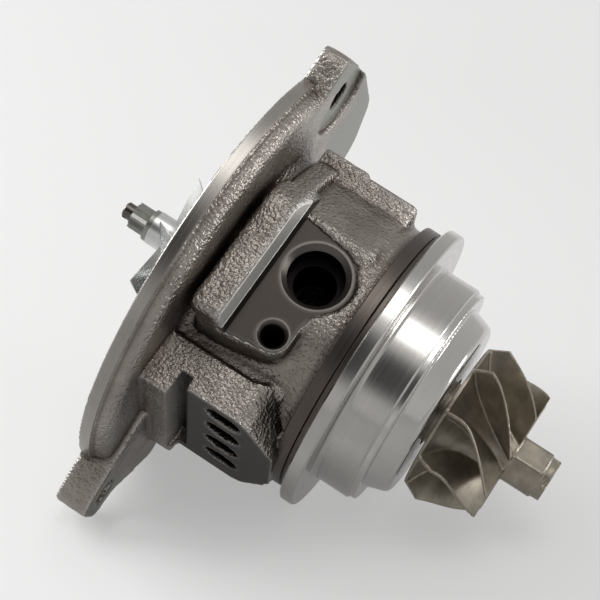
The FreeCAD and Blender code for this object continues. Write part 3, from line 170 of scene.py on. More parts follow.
# Casting: mesh size, rounds of softening, how near to a plane a point is snapped onto it, and
# how far its own faces sink under the lathe pieces
VOXEL = 0.4
CAST_ROUNDS = 12
SNAP = 0.3
ON_PLANE = 0.01
LINED = 0.35

# Casting: how squarely a point has to face a direction, as a cosine
FACING_ALONG = 0.8
FACING_SIDE = 0.9
FACING_BORE = 0.3

# Casting: reach of its finishes and openings
EAR_LAND_Z = 30.0
EAR_LAND_Y = -8.0
EAR_LAND_RADIUS = 36.0
EAR_LAND_RIM = 2.0
PAD_CORNER = 0.2
FRONT_SHARE = 0.75
BORES_RADIUS = 23.5
WINDOW_DEPTH = 16.0
PORT_PAST_FLOOR = 2.0
SCREW_HOLE_DEPTH = 13.0
RIB_BACK_BAND = (-1.0, 1.6)
RIB_BACK_FOOT = 1.5
RIB_BACK_FACING = 0.2

# Casting: its rough skin, and where its edges and crests get a painted highlight and its hollows
# painted shade
LUMP_SIZE = 2.6
LUMP_HEIGHT = 0.07
LUMP_SEED = 3
GRIT_SIZE = 0.85
GRIT_HEIGHT = 0.05
GRIT_SEED = 5
EDGE_ROUNDS = 2
EDGE_HEIGHT = 0.12
CREST_ROUNDS = 14
CREST_BASE = 0.3
CREST_HEIGHT = 0.5
NOISE_TABLE = 4096
NOISE_KEYS = (73856093, 19349663, 83492791)


# Meshes

def mesh_arrays(mesh):
    """Points and edges of a mesh as arrays."""
    points = np.empty(len(mesh.vertices) * 3)
    mesh.vertices.foreach_get("co", points)
    edges = np.empty(len(mesh.edges) * 2, np.int32)
    mesh.edges.foreach_get("vertices", edges)
    return points.reshape(-1, 3), edges.reshape(-1, 2)


def point_normals(mesh):
    """Normal at each point of a mesh."""
    normals = np.empty(len(mesh.vertices) * 3)
    mesh.vertex_normals.foreach_get("vector", normals)
    return normals.reshape(-1, 3)


def set_points(mesh, points):
    """Moves a mesh's points."""
    mesh.vertices.foreach_set("co", points.ravel())
    mesh.update()


def set_attribute(mesh, name, values):
    """Stores one number for each point, for the material to read."""
    attribute = mesh.attributes.new(name, "FLOAT", "POINT")
    attribute.data.foreach_set("value", values.astype(np.float32))


def piece_from(name, mesh, body, material):
    """Object of the visual model from a mesh in shaft millimetres."""
    mesh.transform(TO_ROW)
    points, _ = mesh_arrays(mesh)
    set_points(mesh, np.clip(points, *(np.array(corner) for corner in CAD_BOX)))
    mesh.materials.clear()
    mesh.materials.append(material)
    mesh.shade_smooth()
    piece = bpy.data.objects.new(name, mesh)
    bpy.context.scene.collection.objects.link(piece)
    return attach(piece, body)


def remeshed(node, voxel):
    """Even mesh of a CAD node, in shaft millimetres."""
    mesh = frame["nodes"][node].data.copy()
    mesh.transform(TO_SHAFT)
    source = bpy.data.objects.new(node + "_source", mesh)
    bpy.context.scene.collection.objects.link(source)
    modifier = source.modifiers.new("even", "REMESH")
    modifier.mode = "VOXEL"
    modifier.voxel_size = voxel
    modifier.adaptivity = 0
    graph = bpy.context.evaluated_depsgraph_get()
    result = bpy.data.meshes.new_from_object(source.evaluated_get(graph))
    bpy.data.objects.remove(source)
    return result


def relaxed(points, edges, weight, rounds):
    """Points drawn towards the mean of their neighbours, by weight from 0 to 1."""
    count = len(points)
    share = np.bincount(edges.ravel(), minlength=count)
    pull = (weight * 0.6)[:, None]
    for _ in range(rounds):
        total = np.empty_like(points)
        for axis in range(3):
            column = points[:, axis]
            total[:, axis] = (
                np.bincount(edges[:, 0], column[edges[:, 1]], count)
                + np.bincount(edges[:, 1], column[edges[:, 0]], count))
        points = points + pull * (total / np.maximum(share, 1)[:, None] - points)
    return points


def spread(values, edges, rounds):
    """Values on points, averaged with their neighbours."""
    count = len(values)
    share = np.bincount(edges.ravel(), minlength=count)
    for _ in range(rounds):
        total = (
            np.bincount(edges[:, 0], values[edges[:, 1]], count)
            + np.bincount(edges[:, 1], values[edges[:, 0]], count))
        values = 0.5 * values + 0.5 * total / np.maximum(share, 1)
    return values


def lattice_noise(points, size, seed):
    """Smooth random value from -1 to 1 at each point, with bumps of about that size."""
    table = np.random.default_rng(seed).uniform(-1, 1, NOISE_TABLE)
    scaled = points / size
    cell = np.floor(scaled).astype(np.int64)
    part = scaled - cell
    part = part * part * (3 - 2 * part)
    value = np.zeros(len(points))
    for step in itertools.product((0, 1), repeat=3):
        key_x, key_y, key_z = ((cell + step) * NOISE_KEYS).T
        weight = np.abs(1 - np.array(step) - part).prod(1)
        value += weight * table[(key_x ^ key_y ^ key_z) & (NOISE_TABLE - 1)]
    return value


def rounded_profile(corners, steps=4):
    """Points along an outline of (a, r, round) with each corner rounded."""
    outline = []
    count = len(corners)
    for index, (a, r, radius) in enumerate(corners):
        corner = Vector((a, r))
        before = Vector(corners[index - 1][:2]) - corner
        after = Vector(corners[(index + 1) % count][:2]) - corner
        half = before.angle(after) / 2
        reach = min(radius / math.tan(half), before.length * 0.45, after.length * 0.45)
        start = corner + before.normalized() * reach
        end = corner + after.normalized() * reach
        if reach < 1e-4:
            outline.append(corner)
            continue
        for step in range(steps + 1):
            share = step / steps
            outline.append(
                start * (1 - share) ** 2 + corner * 2 * share * (1 - share) + end * share ** 2)
    return outline


def lathe(name, outline, origin=(0, 0, 0), axis=(1, 0, 0), segments=288):
    """Closed solid of revolution from a closed outline of (along, radius)."""
    along = Vector(axis).normalized()
    first = along.orthogonal().normalized()
    second = along.cross(first)
    base = Vector(origin)
    points = []
    for step in range(segments):
        turn = 2 * math.pi * step / segments
        out = first * math.cos(turn) + second * math.sin(turn)
        points.extend(base + along * a + out * r for a, r in outline)
    count = len(outline)
    faces = []
    for step in range(segments):
        here, there = step * count, (step + 1) % segments * count
        for index in range(count):
            after = (index + 1) % count
            faces.append((here + index, here + after, there + after, there + index))
    mesh = bpy.data.meshes.new(name)
    mesh.from_pydata(points, [], faces)
    mesh.validate()
    return mesh


def crisp(piece):
    """Keeps flat faces flat between their rounded edges."""
    modifier = piece.modifiers.new("flat faces", "WEIGHTED_NORMAL")
    modifier.weight = 100
    return piece


# Materials

class Paint:
    """Node material. point is the place on the surface in shaft millimetres."""

    def __init__(self, name, color, metallic, roughness, **constants):
        self.material = bpy.data.materials.new(name)
        self.material.use_nodes = True
        tree = self.material.node_tree
        self.nodes = tree.nodes
        self.links = tree.links
        self.shader = self.nodes["Principled BSDF"]
        self.shader.inputs["Base Color"].default_value = (*color, 1)
        self.shader.inputs["Metallic"].default_value = metallic
        self.shader.inputs["Roughness"].default_value = roughness
        for key, value in constants.items():
            self.shader.inputs[key.replace("_", " ").title()].default_value = value
        place, turn, scale = TO_SHAFT.decompose()
        local = self.put("TexCoord").outputs["Object"]
        mapping = self.put("Mapping", Vector=local)
        mapping.inputs["Location"].default_value = place
        mapping.inputs["Rotation"].default_value = turn.to_euler()
        mapping.inputs["Scale"].default_value = scale
        self.point = mapping.outputs["Vector"]

    def put(self, kind, settings=None, **inputs):
        """Adds a node; inputs are sockets to link or values to set."""
        node = self.nodes.new("ShaderNode" + kind)
        for key, value in (settings or {}).items():
            setattr(node, key, value)
        for key, value in inputs.items():
            name = key.replace("_", " ")
            socket = node.inputs[int(name[1:])] if name[1:].isdigit() else node.inputs[name]
            if isinstance(value, bpy.types.NodeSocket):
                self.links.new(value, socket)
            else:
                socket.default_value = value
        return node

    def math(self, operation, first, second=0.0, clamp=False):
        """One arithmetic node."""
        node = self.put("Math", {"operation": operation, "use_clamp": clamp}, i0=first, i1=second)
        return node.outputs[0]

    def noise(self, scale, detail=3.0, roughness=0.6, point=None):
        """Noise from 0 to 1 on the surface."""
        node = self.put(
            "TexNoise", Vector=point or self.point, Scale=scale, Detail=detail,
            Roughness=roughness)
        return node.outputs["Fac"]

    def steps(self, value, low, high, out_low=0.0, out_high=1.0):
        """Value stretched from one range to another and held at its ends."""
        node = self.put("MapRange", i0=value, i1=low, i2=high, i3=out_low, i4=out_high)
        return node.outputs["Result"]

    def mixed(self, share, first, second):
        """Colour between two colours."""
        node = self.put("Mix", {"data_type": "RGBA"}, i0=share)
        for socket, value in ((node.inputs[6], first), (node.inputs[7], second)):
            if isinstance(value, bpy.types.NodeSocket):
                self.links.new(value, socket)
            else:
                socket.default_value = (*value, 1)
        return node.outputs[2]

    def blended(self, share, first, second):
        """Number between two numbers."""
        node = self.put("Mix", {"data_type": "FLOAT"}, i0=share, i2=first, i3=second)
        return node.outputs[0]

    def attribute(self, name):
        """Number stored on the mesh."""
        return self.put("Attribute", {"attribute_name": name}).outputs["Fac"]

    def turned_point(self):
        """(x, radius, 0) on the surface, the same all round the shaft."""
        split = self.put("SeparateXYZ", Vector=self.point)
        across = self.math("MULTIPLY", split.outputs["Y"], split.outputs["Y"])
        upward = self.math("MULTIPLY", split.outputs["Z"], split.outputs["Z"])
        radius = self.math("SQRT", self.math("ADD", across, upward))
        return self.put("CombineXYZ", X=split.outputs["X"], Y=radius).outputs["Vector"]

    def bump(self, height, strength, distance, before=None):
        """Relief on the surface; height is from 0 to 1, distance in millimetres."""
        node = self.put("Bump", Height=height, Strength=strength, Distance=distance * MM)
        if before:
            self.links.new(before, node.inputs["Normal"])
        return node.outputs["Normal"]

    def use(self, **inputs):
        """Links sockets to the shader."""
        for key, socket in inputs.items():
            self.links.new(socket, self.shader.inputs[key.replace("_", " ")])
        return self.material

    def round_the_shaft(self):
        """Stretches highlights across the turning marks."""
        place = self.put("NewGeometry").outputs["Position"]
        around = self.put("VectorMath", {"operation": "SUBTRACT"}, i0=place)
        around.inputs[1].default_value = SPIN["pos_m"]
        cross = self.put("VectorMath", {"operation": "CROSS_PRODUCT"}, i1=around.outputs[0])
        cross.inputs[0].default_value = SPIN["axis"]
        self.links.new(cross.outputs[0], self.shader.inputs["Tangent"])


# The casting's finishes, with painted shade and painted highlights among them
CAST_COLORS = (0.275, 0.243, 0.219), (0.425, 0.386, 0.352)
TURNED_COLORS = (0.28, 0.265, 0.245), (0.46, 0.44, 0.42)
MILLED_COLORS = (0.25, 0.254, 0.226), (0.36, 0.364, 0.330)
# Painted shade: the milled pad, drain face and wall foot painted near black for the dark they
# reflect
PAD_SHADE_COLORS = (0.050, 0.043, 0.038), (0.088, 0.077, 0.068)
# Painted highlight: the milled wall, bare metal painted near white
WALL_HIGHLIGHT_COLORS = (0.80, 0.79, 0.76), (0.92, 0.91, 0.88)
# Painted shade in the casting's hollows
HOLLOW_SHADE_COLOR = (0.150, 0.124, 0.110)
# Painted highlight on the casting's crests
CREST_HIGHLIGHT_COLOR = (0.58, 0.545, 0.505)
# Painted highlight along its convex edges
EDGE_HIGHLIGHT_COLOR = (0.64, 0.61, 0.575)
# Painted shade inside the drain windows, slot and holes
HOLE_SHADE_COLOR = (0.012, 0.009, 0.009)


def cast_iron():
    """Shot-blasted casting; the mesh says which faces are cut and where painted shade and painted
    highlights go, on hollows, crests, edges and holes.
    """
    paint = Paint("cast_iron", (0.2, 0.18, 0.17), 1.0, 0.5)
    turned, milled, pad, wall, hole_shade, edge, crest = (
        paint.attribute(name)
        for name in ("turned", "milled", "pad", "wall", "hole_shade", "edge", "crest"))
    patch = paint.steps(paint.noise(0.10, 4), 0.35, 0.68)
    grit = paint.noise(1.35, 1.5, 0.5)
    fine = paint.noise(5.0, 3, 0.6)
    marks = paint.noise(6.0, 2, 0.5, paint.turned_point())
    skin = paint.noise(1.6, 4)
    color = paint.mixed(patch, *CAST_COLORS)
    # Painted shade in the hollows
    color = paint.mixed(paint.steps(crest, 0.0, 0.28), HOLLOW_SHADE_COLOR, color)
    # Painted highlight on the crests
    color = paint.mixed(paint.steps(crest, 0.3, 1.0, 0.0, 0.7), color, CREST_HIGHLIGHT_COLOR)
    color = paint.mixed(turned, color, paint.mixed(marks, *TURNED_COLORS))
    color = paint.mixed(milled, color, paint.mixed(skin, *MILLED_COLORS))
    # Painted shade on the pad and drain face
    color = paint.mixed(pad, color, paint.mixed(skin, *PAD_SHADE_COLORS))
    # Painted highlight on the milled wall, over its bare metal
    color = paint.mixed(wall, color, paint.mixed(skin, *WALL_HIGHLIGHT_COLORS))
    # Painted highlight along convex edges
    color = paint.mixed(paint.math("MULTIPLY", edge, 0.5, True), color, EDGE_HIGHLIGHT_COLOR)
    # Painted shade inside windows, slot and holes
    color = paint.mixed(hole_shade, color, HOLE_SHADE_COLOR)
    cut = paint.math("MAXIMUM", turned, milled)
    bare = paint.math("MAXIMUM", cut, paint.math("MAXIMUM", pad, wall))
    roughness = paint.blended(
        bare, paint.steps(fine, 0.3, 0.7, 0.24, 0.34), paint.steps(skin, 0.3, 0.7, 0.36, 0.44))
    roughness = paint.blended(wall, roughness, 0.5)
    cast_share = paint.math("SUBTRACT", 1.0, bare)
    rough_share = paint.math("MULTIPLY", cast_share, paint.steps(crest, 0.0, 1.0, 0.35, 1.0))
    normal = paint.bump(paint.math("MULTIPLY", grit, rough_share), 1.0, 0.8)
    normal = paint.bump(paint.math("MULTIPLY", fine, rough_share), 0.6, 0.06, normal)
    normal = paint.bump(paint.math("MULTIPLY", marks, turned), 0.35, 0.03, normal)
    return paint.use(Base_Color=color, Roughness=roughness, Normal=normal)


def turned_steel(name, light, dark, roughness, groove=7.0, depth=0.02):
    """Fine turned metal with marks round the shaft."""
    paint = Paint(name, light, 1.0, roughness, anisotropic=0.35)
    ring = paint.turned_point()
    marks = paint.noise(groove, 3, 0.65, ring)
    broad = paint.noise(0.8, 2, 0.5, ring)
    stain = paint.steps(paint.noise(0.18, 5, 0.65), 0.42, 0.7)
    color = paint.mixed(marks, dark, light)
    color = paint.mixed(paint.math("MULTIPLY", stain, 0.35), color, dark)
    both = paint.math("ADD", marks, broad)
    gloss = paint.steps(both, 0.7, 1.3, roughness * 0.75, roughness * 1.35)
    normal = paint.bump(marks, 0.5, depth)
    paint.round_the_shaft()
    return paint.use(Base_Color=color, Roughness=gloss, Normal=normal)


def fine_casting(name, light, dark, metallic, roughness, grain=3.0, depth=0.03):
    """Investment or die casting: soft mottling and a fine skin."""
    paint = Paint(name, light, metallic, roughness)
    mottle = paint.noise(0.35, 5, 0.6)
    skin = paint.noise(grain, 4, 0.65)
    color = paint.mixed(paint.steps(mottle, 0.3, 0.7), dark, light)
    gloss = paint.steps(skin, 0.3, 0.7, roughness * 0.85, roughness * 1.2)
    normal = paint.bump(skin, 0.5, depth)
    return paint.use(Base_Color=color, Roughness=gloss, Normal=normal)


def hole_lining(chamfer):
    """Bare chamfer at a hole's mouth in the pad and the bore behind it painted near black as
    painted shade.
    """
    paint = Paint("hole_lining", (0.3, 0.28, 0.26), 0.9, 0.4)
    depth = paint.put("SeparateXYZ", Vector=paint.point).outputs["Y"]
    inside = paint.steps(depth, PAD_Y + chamfer - 0.1, PAD_Y + chamfer + 0.5)
    skin = paint.noise(3.0, 3)
    bare = paint.mixed(skin, (0.10, 0.088, 0.080), (0.20, 0.18, 0.165))
    # Painted shade: the bore is near black beyond the chamfer
    color = paint.mixed(inside, bare, (0.012, 0.009, 0.011))
    roughness = paint.blended(inside, 0.34, 0.5)
    return paint.use(Base_Color=color, Roughness=roughness, Normal=paint.bump(skin, 0.3, 0.03))


def rubber():
    """Matt black seal rubber."""
    paint = Paint("seal_rubber", (0.02, 0.02, 0.02), 0.0, 0.6)
    speck = paint.noise(4.0, 3)
    color = paint.mixed(speck, (0.012, 0.012, 0.012), (0.035, 0.035, 0.033))
    return paint.use(
        Base_Color=color, Roughness=paint.steps(speck, 0.3, 0.7, 0.5, 0.7),
        Normal=paint.bump(speck, 0.3, 0.02))


def shaft_end_steel():
    """Ground shaft whose slotted end is dark with thread oil."""
    paint = Paint("shaft_steel", (0.58, 0.57, 0.55), 1.0, 0.24)
    marks = paint.noise(7.0, 3, 0.65, paint.turned_point())
    place = paint.put("SeparateXYZ", Vector=paint.point).outputs["X"]
    tip = paint.steps(place, SHAFT_TIP_X + 2.3, SHAFT_TIP_X + 2.7, 1.0, 0.0)
    color = paint.mixed(marks, (0.45, 0.44, 0.42), (0.58, 0.57, 0.55))
    color = paint.mixed(tip, color, paint.mixed(marks, (0.10, 0.09, 0.082), (0.20, 0.18, 0.165)))
    return paint.use(Base_Color=color, Normal=paint.bump(marks, 0.5, 0.02))


SHAFT_TIP_X = min((TO_SHAFT @ vertex.co).x for vertex in frame["nodes"]["shaft"].data.vertices)
MATERIALS = {
    "cast_iron": cast_iron(),
    "turned_steel": turned_steel("turned_steel", (0.64, 0.625, 0.60), (0.50, 0.485, 0.465), 0.16),
    "heat_shield_steel": turned_steel(
        "heat_shield_steel", (0.70, 0.69, 0.67), (0.58, 0.57, 0.55), 0.15, 5.0, 0.008),
    "turbine_alloy": fine_casting(
        "turbine_alloy", (0.42, 0.38, 0.315), (0.27, 0.24, 0.195), 0.9, 0.36),
    "compressor_aluminium": fine_casting(
        "compressor_aluminium", (0.82, 0.83, 0.82), (0.68, 0.69, 0.68), 1.0, 0.28, 4.0, 0.012),
    "shaft_steel": shaft_end_steel(),
    "bearing_bronze": turned_steel("bearing_bronze", (0.70, 0.52, 0.30), (0.52, 0.37, 0.20), 0.30),
    "spring_steel": turned_steel("spring_steel", (0.20, 0.20, 0.21), (0.12, 0.12, 0.125), 0.34),
    "nut_steel": fine_casting("nut_steel", (0.40, 0.40, 0.37), (0.26, 0.26, 0.24), 0.95, 0.32),
    "seal_iron": turned_steel("seal_iron", (0.40, 0.39, 0.37), (0.28, 0.27, 0.26), 0.32),
    "seal_rubber": rubber(),
}
for subpart in RECORD["subparts"]:
    node = frame["nodes"][subpart["node"]]
    node.data.materials.clear()
    node.data.materials.append(MATERIALS[subpart["material_slot"]])


# Casting

def within(values, low, high):
    """True where values lie between two limits."""
    return (values > low) & (values < high)


def machined_planes(points, normals):
    """Planes that the cutters left: the axis, the place, which points may lie on it, the finish;
    the finish 'pad' carries painted shade and 'wall' a painted highlight.
    """
    x, y, z = points.T
    radius = np.hypot(y, z)
    toward_turbine = normals[:, 0] > FACING_ALONG
    toward_compressor = normals[:, 0] < -FACING_ALONG
    port_radius = np.hypot(x - PORT.x, z - PORT.z)
    on_pad = (x < SCREW.x + PAD_LOBE_RADIUS) | (port_radius < PORT_LOBE_RADIUS + SNAP)
    hole_distance = np.hypot(y - UPPER_HOLE.y, z - UPPER_HOLE.z)
    near_ear = (z > EAR_LAND_Z) & (
        (radius > RIM_RADIUS - EAR_LAND_RIM) | (radius > EAR_LAND_RADIUS) & (y > EAR_LAND_Y))
    # The foot of the milled wall beside the pad gets the pad's painted shade, the rest of the wall
    # its painted highlight
    wall = toward_turbine & (y < PAD_Y - PAD_CORNER)
    wall_foot = y > PAD_Y - WALL_FOOT_SHADE
    wall_face = y < PAD_Y - WALL_FOOT_SHADE
    return [
        (0, FLANGE_FACE_X, toward_compressor & (x < FLANGE_FACE_X + SNAP), "turned"),
        (0, LOWER_EAR_X, toward_turbine & (radius > RIM_RADIUS), "milled"),
        (0, SPOTFACE_X, toward_turbine & (hole_distance < SPOTFACE_RADIUS), "milled"),
        (0, FLANGE_FACE_X + FLANGE_THICKNESS, toward_turbine & near_ear, "milled"),
        (0, PAD_WALL_X, wall & wall_foot, "pad"),
        (0, PAD_WALL_X, wall & wall_face, "wall"),
        (1, PAD_Y, (normals[:, 1] < -FACING_SIDE) & on_pad, "pad"),
        (2, TOP_Z, normals[:, 2] > FACING_SIDE, "milled"),
        (2, DRAIN_Z, normals[:, 2] < -FACING_SIDE, "pad"),
    ]


def near_plane(points, axis, place, where):
    """Which of some points lie on a machined plane, or nearly."""
    return where & (np.abs(points[:, axis] - place) < SNAP)


def casting():
    """The cast body as one even mesh: cast faces relaxed and gritty, machined ones exact."""
    mesh = remeshed("bearing_housing", VOXEL)
    points, edges = mesh_arrays(mesh)
    normals = point_normals(mesh)
    x, y, z = points.T
    everywhere = np.ones(len(points))
    radius = np.hypot(y, z)
    outward = (normals[:, 1] * y + normals[:, 2] * z) / np.maximum(radius, 1e-6)
    port_radius = np.hypot(x - PORT.x, z - PORT.z)
    screw_radius = np.hypot(x - SCREW.x, z - SCREW.z)
    hole_distance = np.hypot(y - UPPER_HOLE.y, z - UPPER_HOLE.z)

    planes = machined_planes(points, normals)
    finishes = {name: np.zeros(len(points)) for name in ("turned", "milled", "pad", "wall")}
    for axis, place, where, finish in planes:
        finishes[finish][near_plane(points, axis, place, where)] = 1

    windows = (
        within(x, *WINDOWS_X) & within(y, *WINDOWS_Y)
        & within(z, DRAIN_Z + SNAP, DRAIN_Z + WINDOW_DEPTH))
    ear_hole = (hole_distance < EAR_HOLE_RADIUS + SNAP) & (x < SPOTFACE_X - SNAP)
    slot = within(x, *SLOT_X) & within(y, *SLOT_Y) & (z < SLOT_FLOOR_Z)
    rim = (
        (x < FLANGE_FACE_X + RIM_WIDTH + SNAP)
        & within(radius, RIM_RADIUS - SNAP, RIM_RADIUS + SNAP))
    front = (x > LAND_START_X - SNAP) & (radius > NECK_RADIUS * FRONT_SHARE)
    bores = (
        (radius < BORES_RADIUS) & within(x, FLANGE_FACE_X + SNAP, DRUM_LENGTH - SNAP)
        & (outward < FACING_BORE))
    port_floor = PAD_Y + PORT_DEPTH + PORT_STEP_DEPTH + PORT_PAST_FLOOR
    port = (
        (port_radius < PORT_RADIUS + PORT_CHAMFER + SNAP)
        & within(y, PAD_Y + SNAP / 2, port_floor))
    screw = (
        (screw_radius < SCREW_RADIUS + SCREW_CHAMFER + SNAP)
        & within(y, PAD_Y + SNAP / 2, PAD_Y + SCREW_HOLE_DEPTH))
    rib_back = (
        within(x, RIB_BACK_X + RIB_BACK_BAND[0], RIB_BACK_X + RIB_BACK_BAND[1])
        & (y < PAD_Y - RIB_BACK_FOOT) & (normals[:, 0] < RIB_BACK_FACING))

    hidden = rim & (finishes["turned"] < 1) | front | bores | port | screw
    fixed = np.max(list(finishes.values()), axis=0)
    weight = 1 - np.maximum(fixed, hidden)
    middle = relaxed(points, edges, everywhere, EDGE_ROUNDS)
    convex = ((points - middle) * normals).sum(1)
    middle = relaxed(middle, edges, everywhere, CREST_ROUNDS)
    swell = ((points - middle) * normals).sum(1)

    points = relaxed(points, edges, weight, CAST_ROUNDS)
    for axis, place, where, finish in planes:
        points[near_plane(points, axis, place, where), axis] = place
    on_wall = (np.abs(points[:, 0] - PAD_WALL_X) < ON_PLANE) & (y < PAD_Y - PAD_CORNER)
    lean = np.clip((points[:, 1] - RIB_CREST_Y) / (PAD_Y - RIB_CREST_Y), 0, 1)
    points[:, 0] += WALL_FLARE * on_wall * lean
    soft = spread(weight, edges, 2)
    relief = (
        LUMP_HEIGHT * lattice_noise(points, LUMP_SIZE, LUMP_SEED)
        + GRIT_HEIGHT * lattice_noise(points, GRIT_SIZE, GRIT_SEED))
    points += normals * (relief * soft * weight)[:, None]
    points[hidden] -= normals[hidden] * LINED
    points[slot, 2] = SLOT_FLOOR_Z
    points[:, 0] -= RIB_SPREAD * spread(rib_back.astype(float), edges, 3)
    set_points(mesh, points)

    for name, values in finishes.items():
        set_attribute(mesh, name, values)
    # Windows, slot, port, screw hole and ear hole: near black inside, as painted shade
    dark = windows | slot | port | screw | ear_hole
    set_attribute(mesh, "hole_shade", spread(dark.astype(float), edges, 2))
    # Convexity of the edges, for their painted highlight
    set_attribute(mesh, "edge", spread(np.clip(convex / EDGE_HEIGHT, 0, 1), edges, 1))
    # Hollows and crests, for painted shade in the hollows and a painted highlight on the crests
    crest = np.clip(CREST_BASE + swell / CREST_HEIGHT, 0, 1)
    set_attribute(mesh, "crest", spread(crest, edges, 4))
    piece = piece_from("housing_casting", mesh, "housing", MATERIALS["cast_iron"])
    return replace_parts(piece, "bearing_housing")


def turned_land():
    """Dark turned land and groove behind the clamp ring."""
    land = NECK_RADIUS + LAND_PROUD
    groove = land - LAND_GROOVE_DEPTH
    end = LAND_UNDER_RING - RING_WIDTH
    outline = rounded_profile([
        (LAND_START_X, FRONT_INNER_RADIUS, 0.1), (LAND_START_X, land, 0.25),
        (LAND_END_X, land, 0.2),
        (LAND_END_X, groove, 0.3), (end, groove, 0.05), (end, FRONT_INNER_RADIUS, 0.1),
    ])
    mesh = lathe("housing_turned_land", outline)
    paint = turned_steel("land_steel", (0.17, 0.148, 0.132), (0.085, 0.072, 0.064), 0.30)
    piece = piece_from("housing_turned_land", mesh, "housing", paint)
    return crisp(piece)


def turned_front():
    """Clamp ring and drum, as the lathe leaves them."""
    inner, edge = FRONT_INNER_RADIUS, FRONT_EDGE
    outline = rounded_profile([
        (-RING_WIDTH, inner, 0.1),
        (-RING_WIDTH, RING_RADIUS - edge, 0.15), (edge - RING_WIDTH, RING_RADIUS, 0.15),
        (-edge, RING_RADIUS, 0.2), (0, RING_RADIUS - edge, 0.2), (0, DRUM_RADIUS, 1.3),
        (DRUM_LENGTH - edge, DRUM_RADIUS, 0.15), (DRUM_LENGTH, DRUM_RADIUS - edge, 0.15),
        (DRUM_LENGTH, inner, 0.1),
    ])
    mesh = lathe("housing_turned_front", outline)
    piece = piece_from("housing_turned_front", mesh, "housing", MATERIALS["turned_steel"])
    return crisp(piece)


def turned_rim():
    """Pale machined rim of the flange."""
    face = FLANGE_FACE_X + RIM_LIFT
    back = FLANGE_FACE_X + RIM_WIDTH
    outline = rounded_profile([
        (FLANGE_FACE_X + 1.0, RIM_RADIUS - 3.0, 0.1), (face, RIM_RADIUS - 2.0, 0.1),
        (face, RIM_RADIUS - RIM_EDGE, 0.2), (FLANGE_FACE_X + RIM_EDGE, RIM_RADIUS, 0.2),
        (back, RIM_RADIUS, 0.15), (back, RIM_RADIUS - RIM_STEP - 0.5, 0.2),
    ])
    mesh = lathe("housing_turned_rim", outline, segments=360)
    paint = turned_steel("rim_steel", (0.50, 0.475, 0.445), (0.34, 0.315, 0.29), 0.24)
    piece = piece_from("housing_turned_rim", mesh, "housing", paint)
    return crisp(piece)


def port_lining():
    """Chamfer, bore and step of the coolant port in the pad."""
    wide = PORT_RADIUS + PORT_CHAMFER
    step = PORT_RADIUS - PORT_STEP
    depth = PORT_DEPTH + PORT_STEP_DEPTH
    outer = PORT_DEPTH + LINING_WALL
    outline = rounded_profile([
        (LINING_LIP, wide + 0.6, 0.05), (LINING_LIP, wide, 0.1), (-PORT_CHAMFER, PORT_RADIUS, 0.15),
        (-PORT_DEPTH, PORT_RADIUS, 0.1), (-PORT_DEPTH, step, 0.2), (-depth, step, 0.1),
        (-depth, step + 0.4, 0.1), (-outer, step + LINING_WALL, 0.1),
        (-outer, PORT_RADIUS + LINING_WALL, 0.1),
    ])
    mesh = lathe("coolant_port_lining", outline, (PORT.x, PAD_Y, PORT.z), (0, -1, 0), 128)
    piece = piece_from("coolant_port_lining", mesh, "housing", hole_lining(PORT_CHAMFER))
    return crisp(piece)


def screw_thread():
    """Chamfer and thread of the tapped hole in the pad."""
    wide = SCREW_RADIUS + SCREW_CHAMFER
    root = SCREW_RADIUS + THREAD_DEPTH
    corners = [
        (LINING_LIP, wide + LINING_WALL, 0.05), (LINING_LIP, wide, 0.08),
        (-SCREW_CHAMFER, SCREW_RADIUS + 0.1, 0.05)]
    turns = int(SCREW_DEPTH / THREAD_PITCH) - 1
    for turn in range(turns):
        start = -SCREW_CHAMFER - THREAD_PITCH * turn
        corners.append((start - THREAD_PITCH * THREAD_ROOT_AT, root, 0.05))
        corners.append((start - THREAD_PITCH * THREAD_CREST_AT, SCREW_RADIUS, 0.05))
    end = -SCREW_CHAMFER - THREAD_PITCH * turns - LINING_WALL
    corners += [(end, SCREW_RADIUS, 0.05), (end, root + 0.4, 0.05)]
    outline = rounded_profile(corners, 2)
    mesh = lathe("pad_screw_thread", outline, (SCREW.x, PAD_Y, SCREW.z), (0, -1, 0), 96)
    piece = piece_from("pad_screw_thread", mesh, "housing", hole_lining(SCREW_CHAMFER))
    return crisp(piece)


casting()
turned_land()
turned_front()
turned_rim()
port_lining()
screw_thread()


# Wheels

WHEEL_VOXEL = 0.25


def cast_turbine_wheel():
    """Turbine wheel with the soft fillets and rounded blade edges of an investment casting."""
    mesh = remeshed("turbine_wheel", WHEEL_VOXEL)
    points, edges = mesh_arrays(mesh)
    points = relaxed(points, edges, np.ones(len(points)), 2)
    set_points(mesh, points)
    piece = piece_from("turbine_wheel_casting", mesh, "rotor", MATERIALS["turbine_alloy"])
    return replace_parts(piece, "turbine_wheel")


cast_turbine_wheel()


# Floor, light and camera

FLOOR_SIZE = 3.0
FLOOR_COLOR = (0.48, 0.48, 0.48)

# Glow of the floor where its Y runs from the first place to the second, in metres: (Y, Y,
# strength, strength)
FLOOR_SEEN = (-0.08, 0.22, 0.39, 0.31)
FLOOR_MIRRORED = (-0.10, 0.05, 0.0, 0.30)

# Sky: strength near the horizon and overhead, and two round patches, each with its place
# (azimuth, elevation), the angles of its core and its edge, and its strength
SKY_LOW = 0.55
SKY_HIGH = 0.48
DARK_PATCH = ((6, 40), 9, 27, 0.07)
BRIGHT_PATCH = ((73, 76), 12, 28, 0.8)

# Lamps: azimuth, elevation, distance and size in metres, radiance
SOFTBOXES = {
    "overhead": (73, 76, 1.2, 0.50, 1.8),
    "left": (-95, 30, 1.1, 0.80, 5.0),
    "behind right": (108, 6, 1.0, 0.40, 5.0),
}

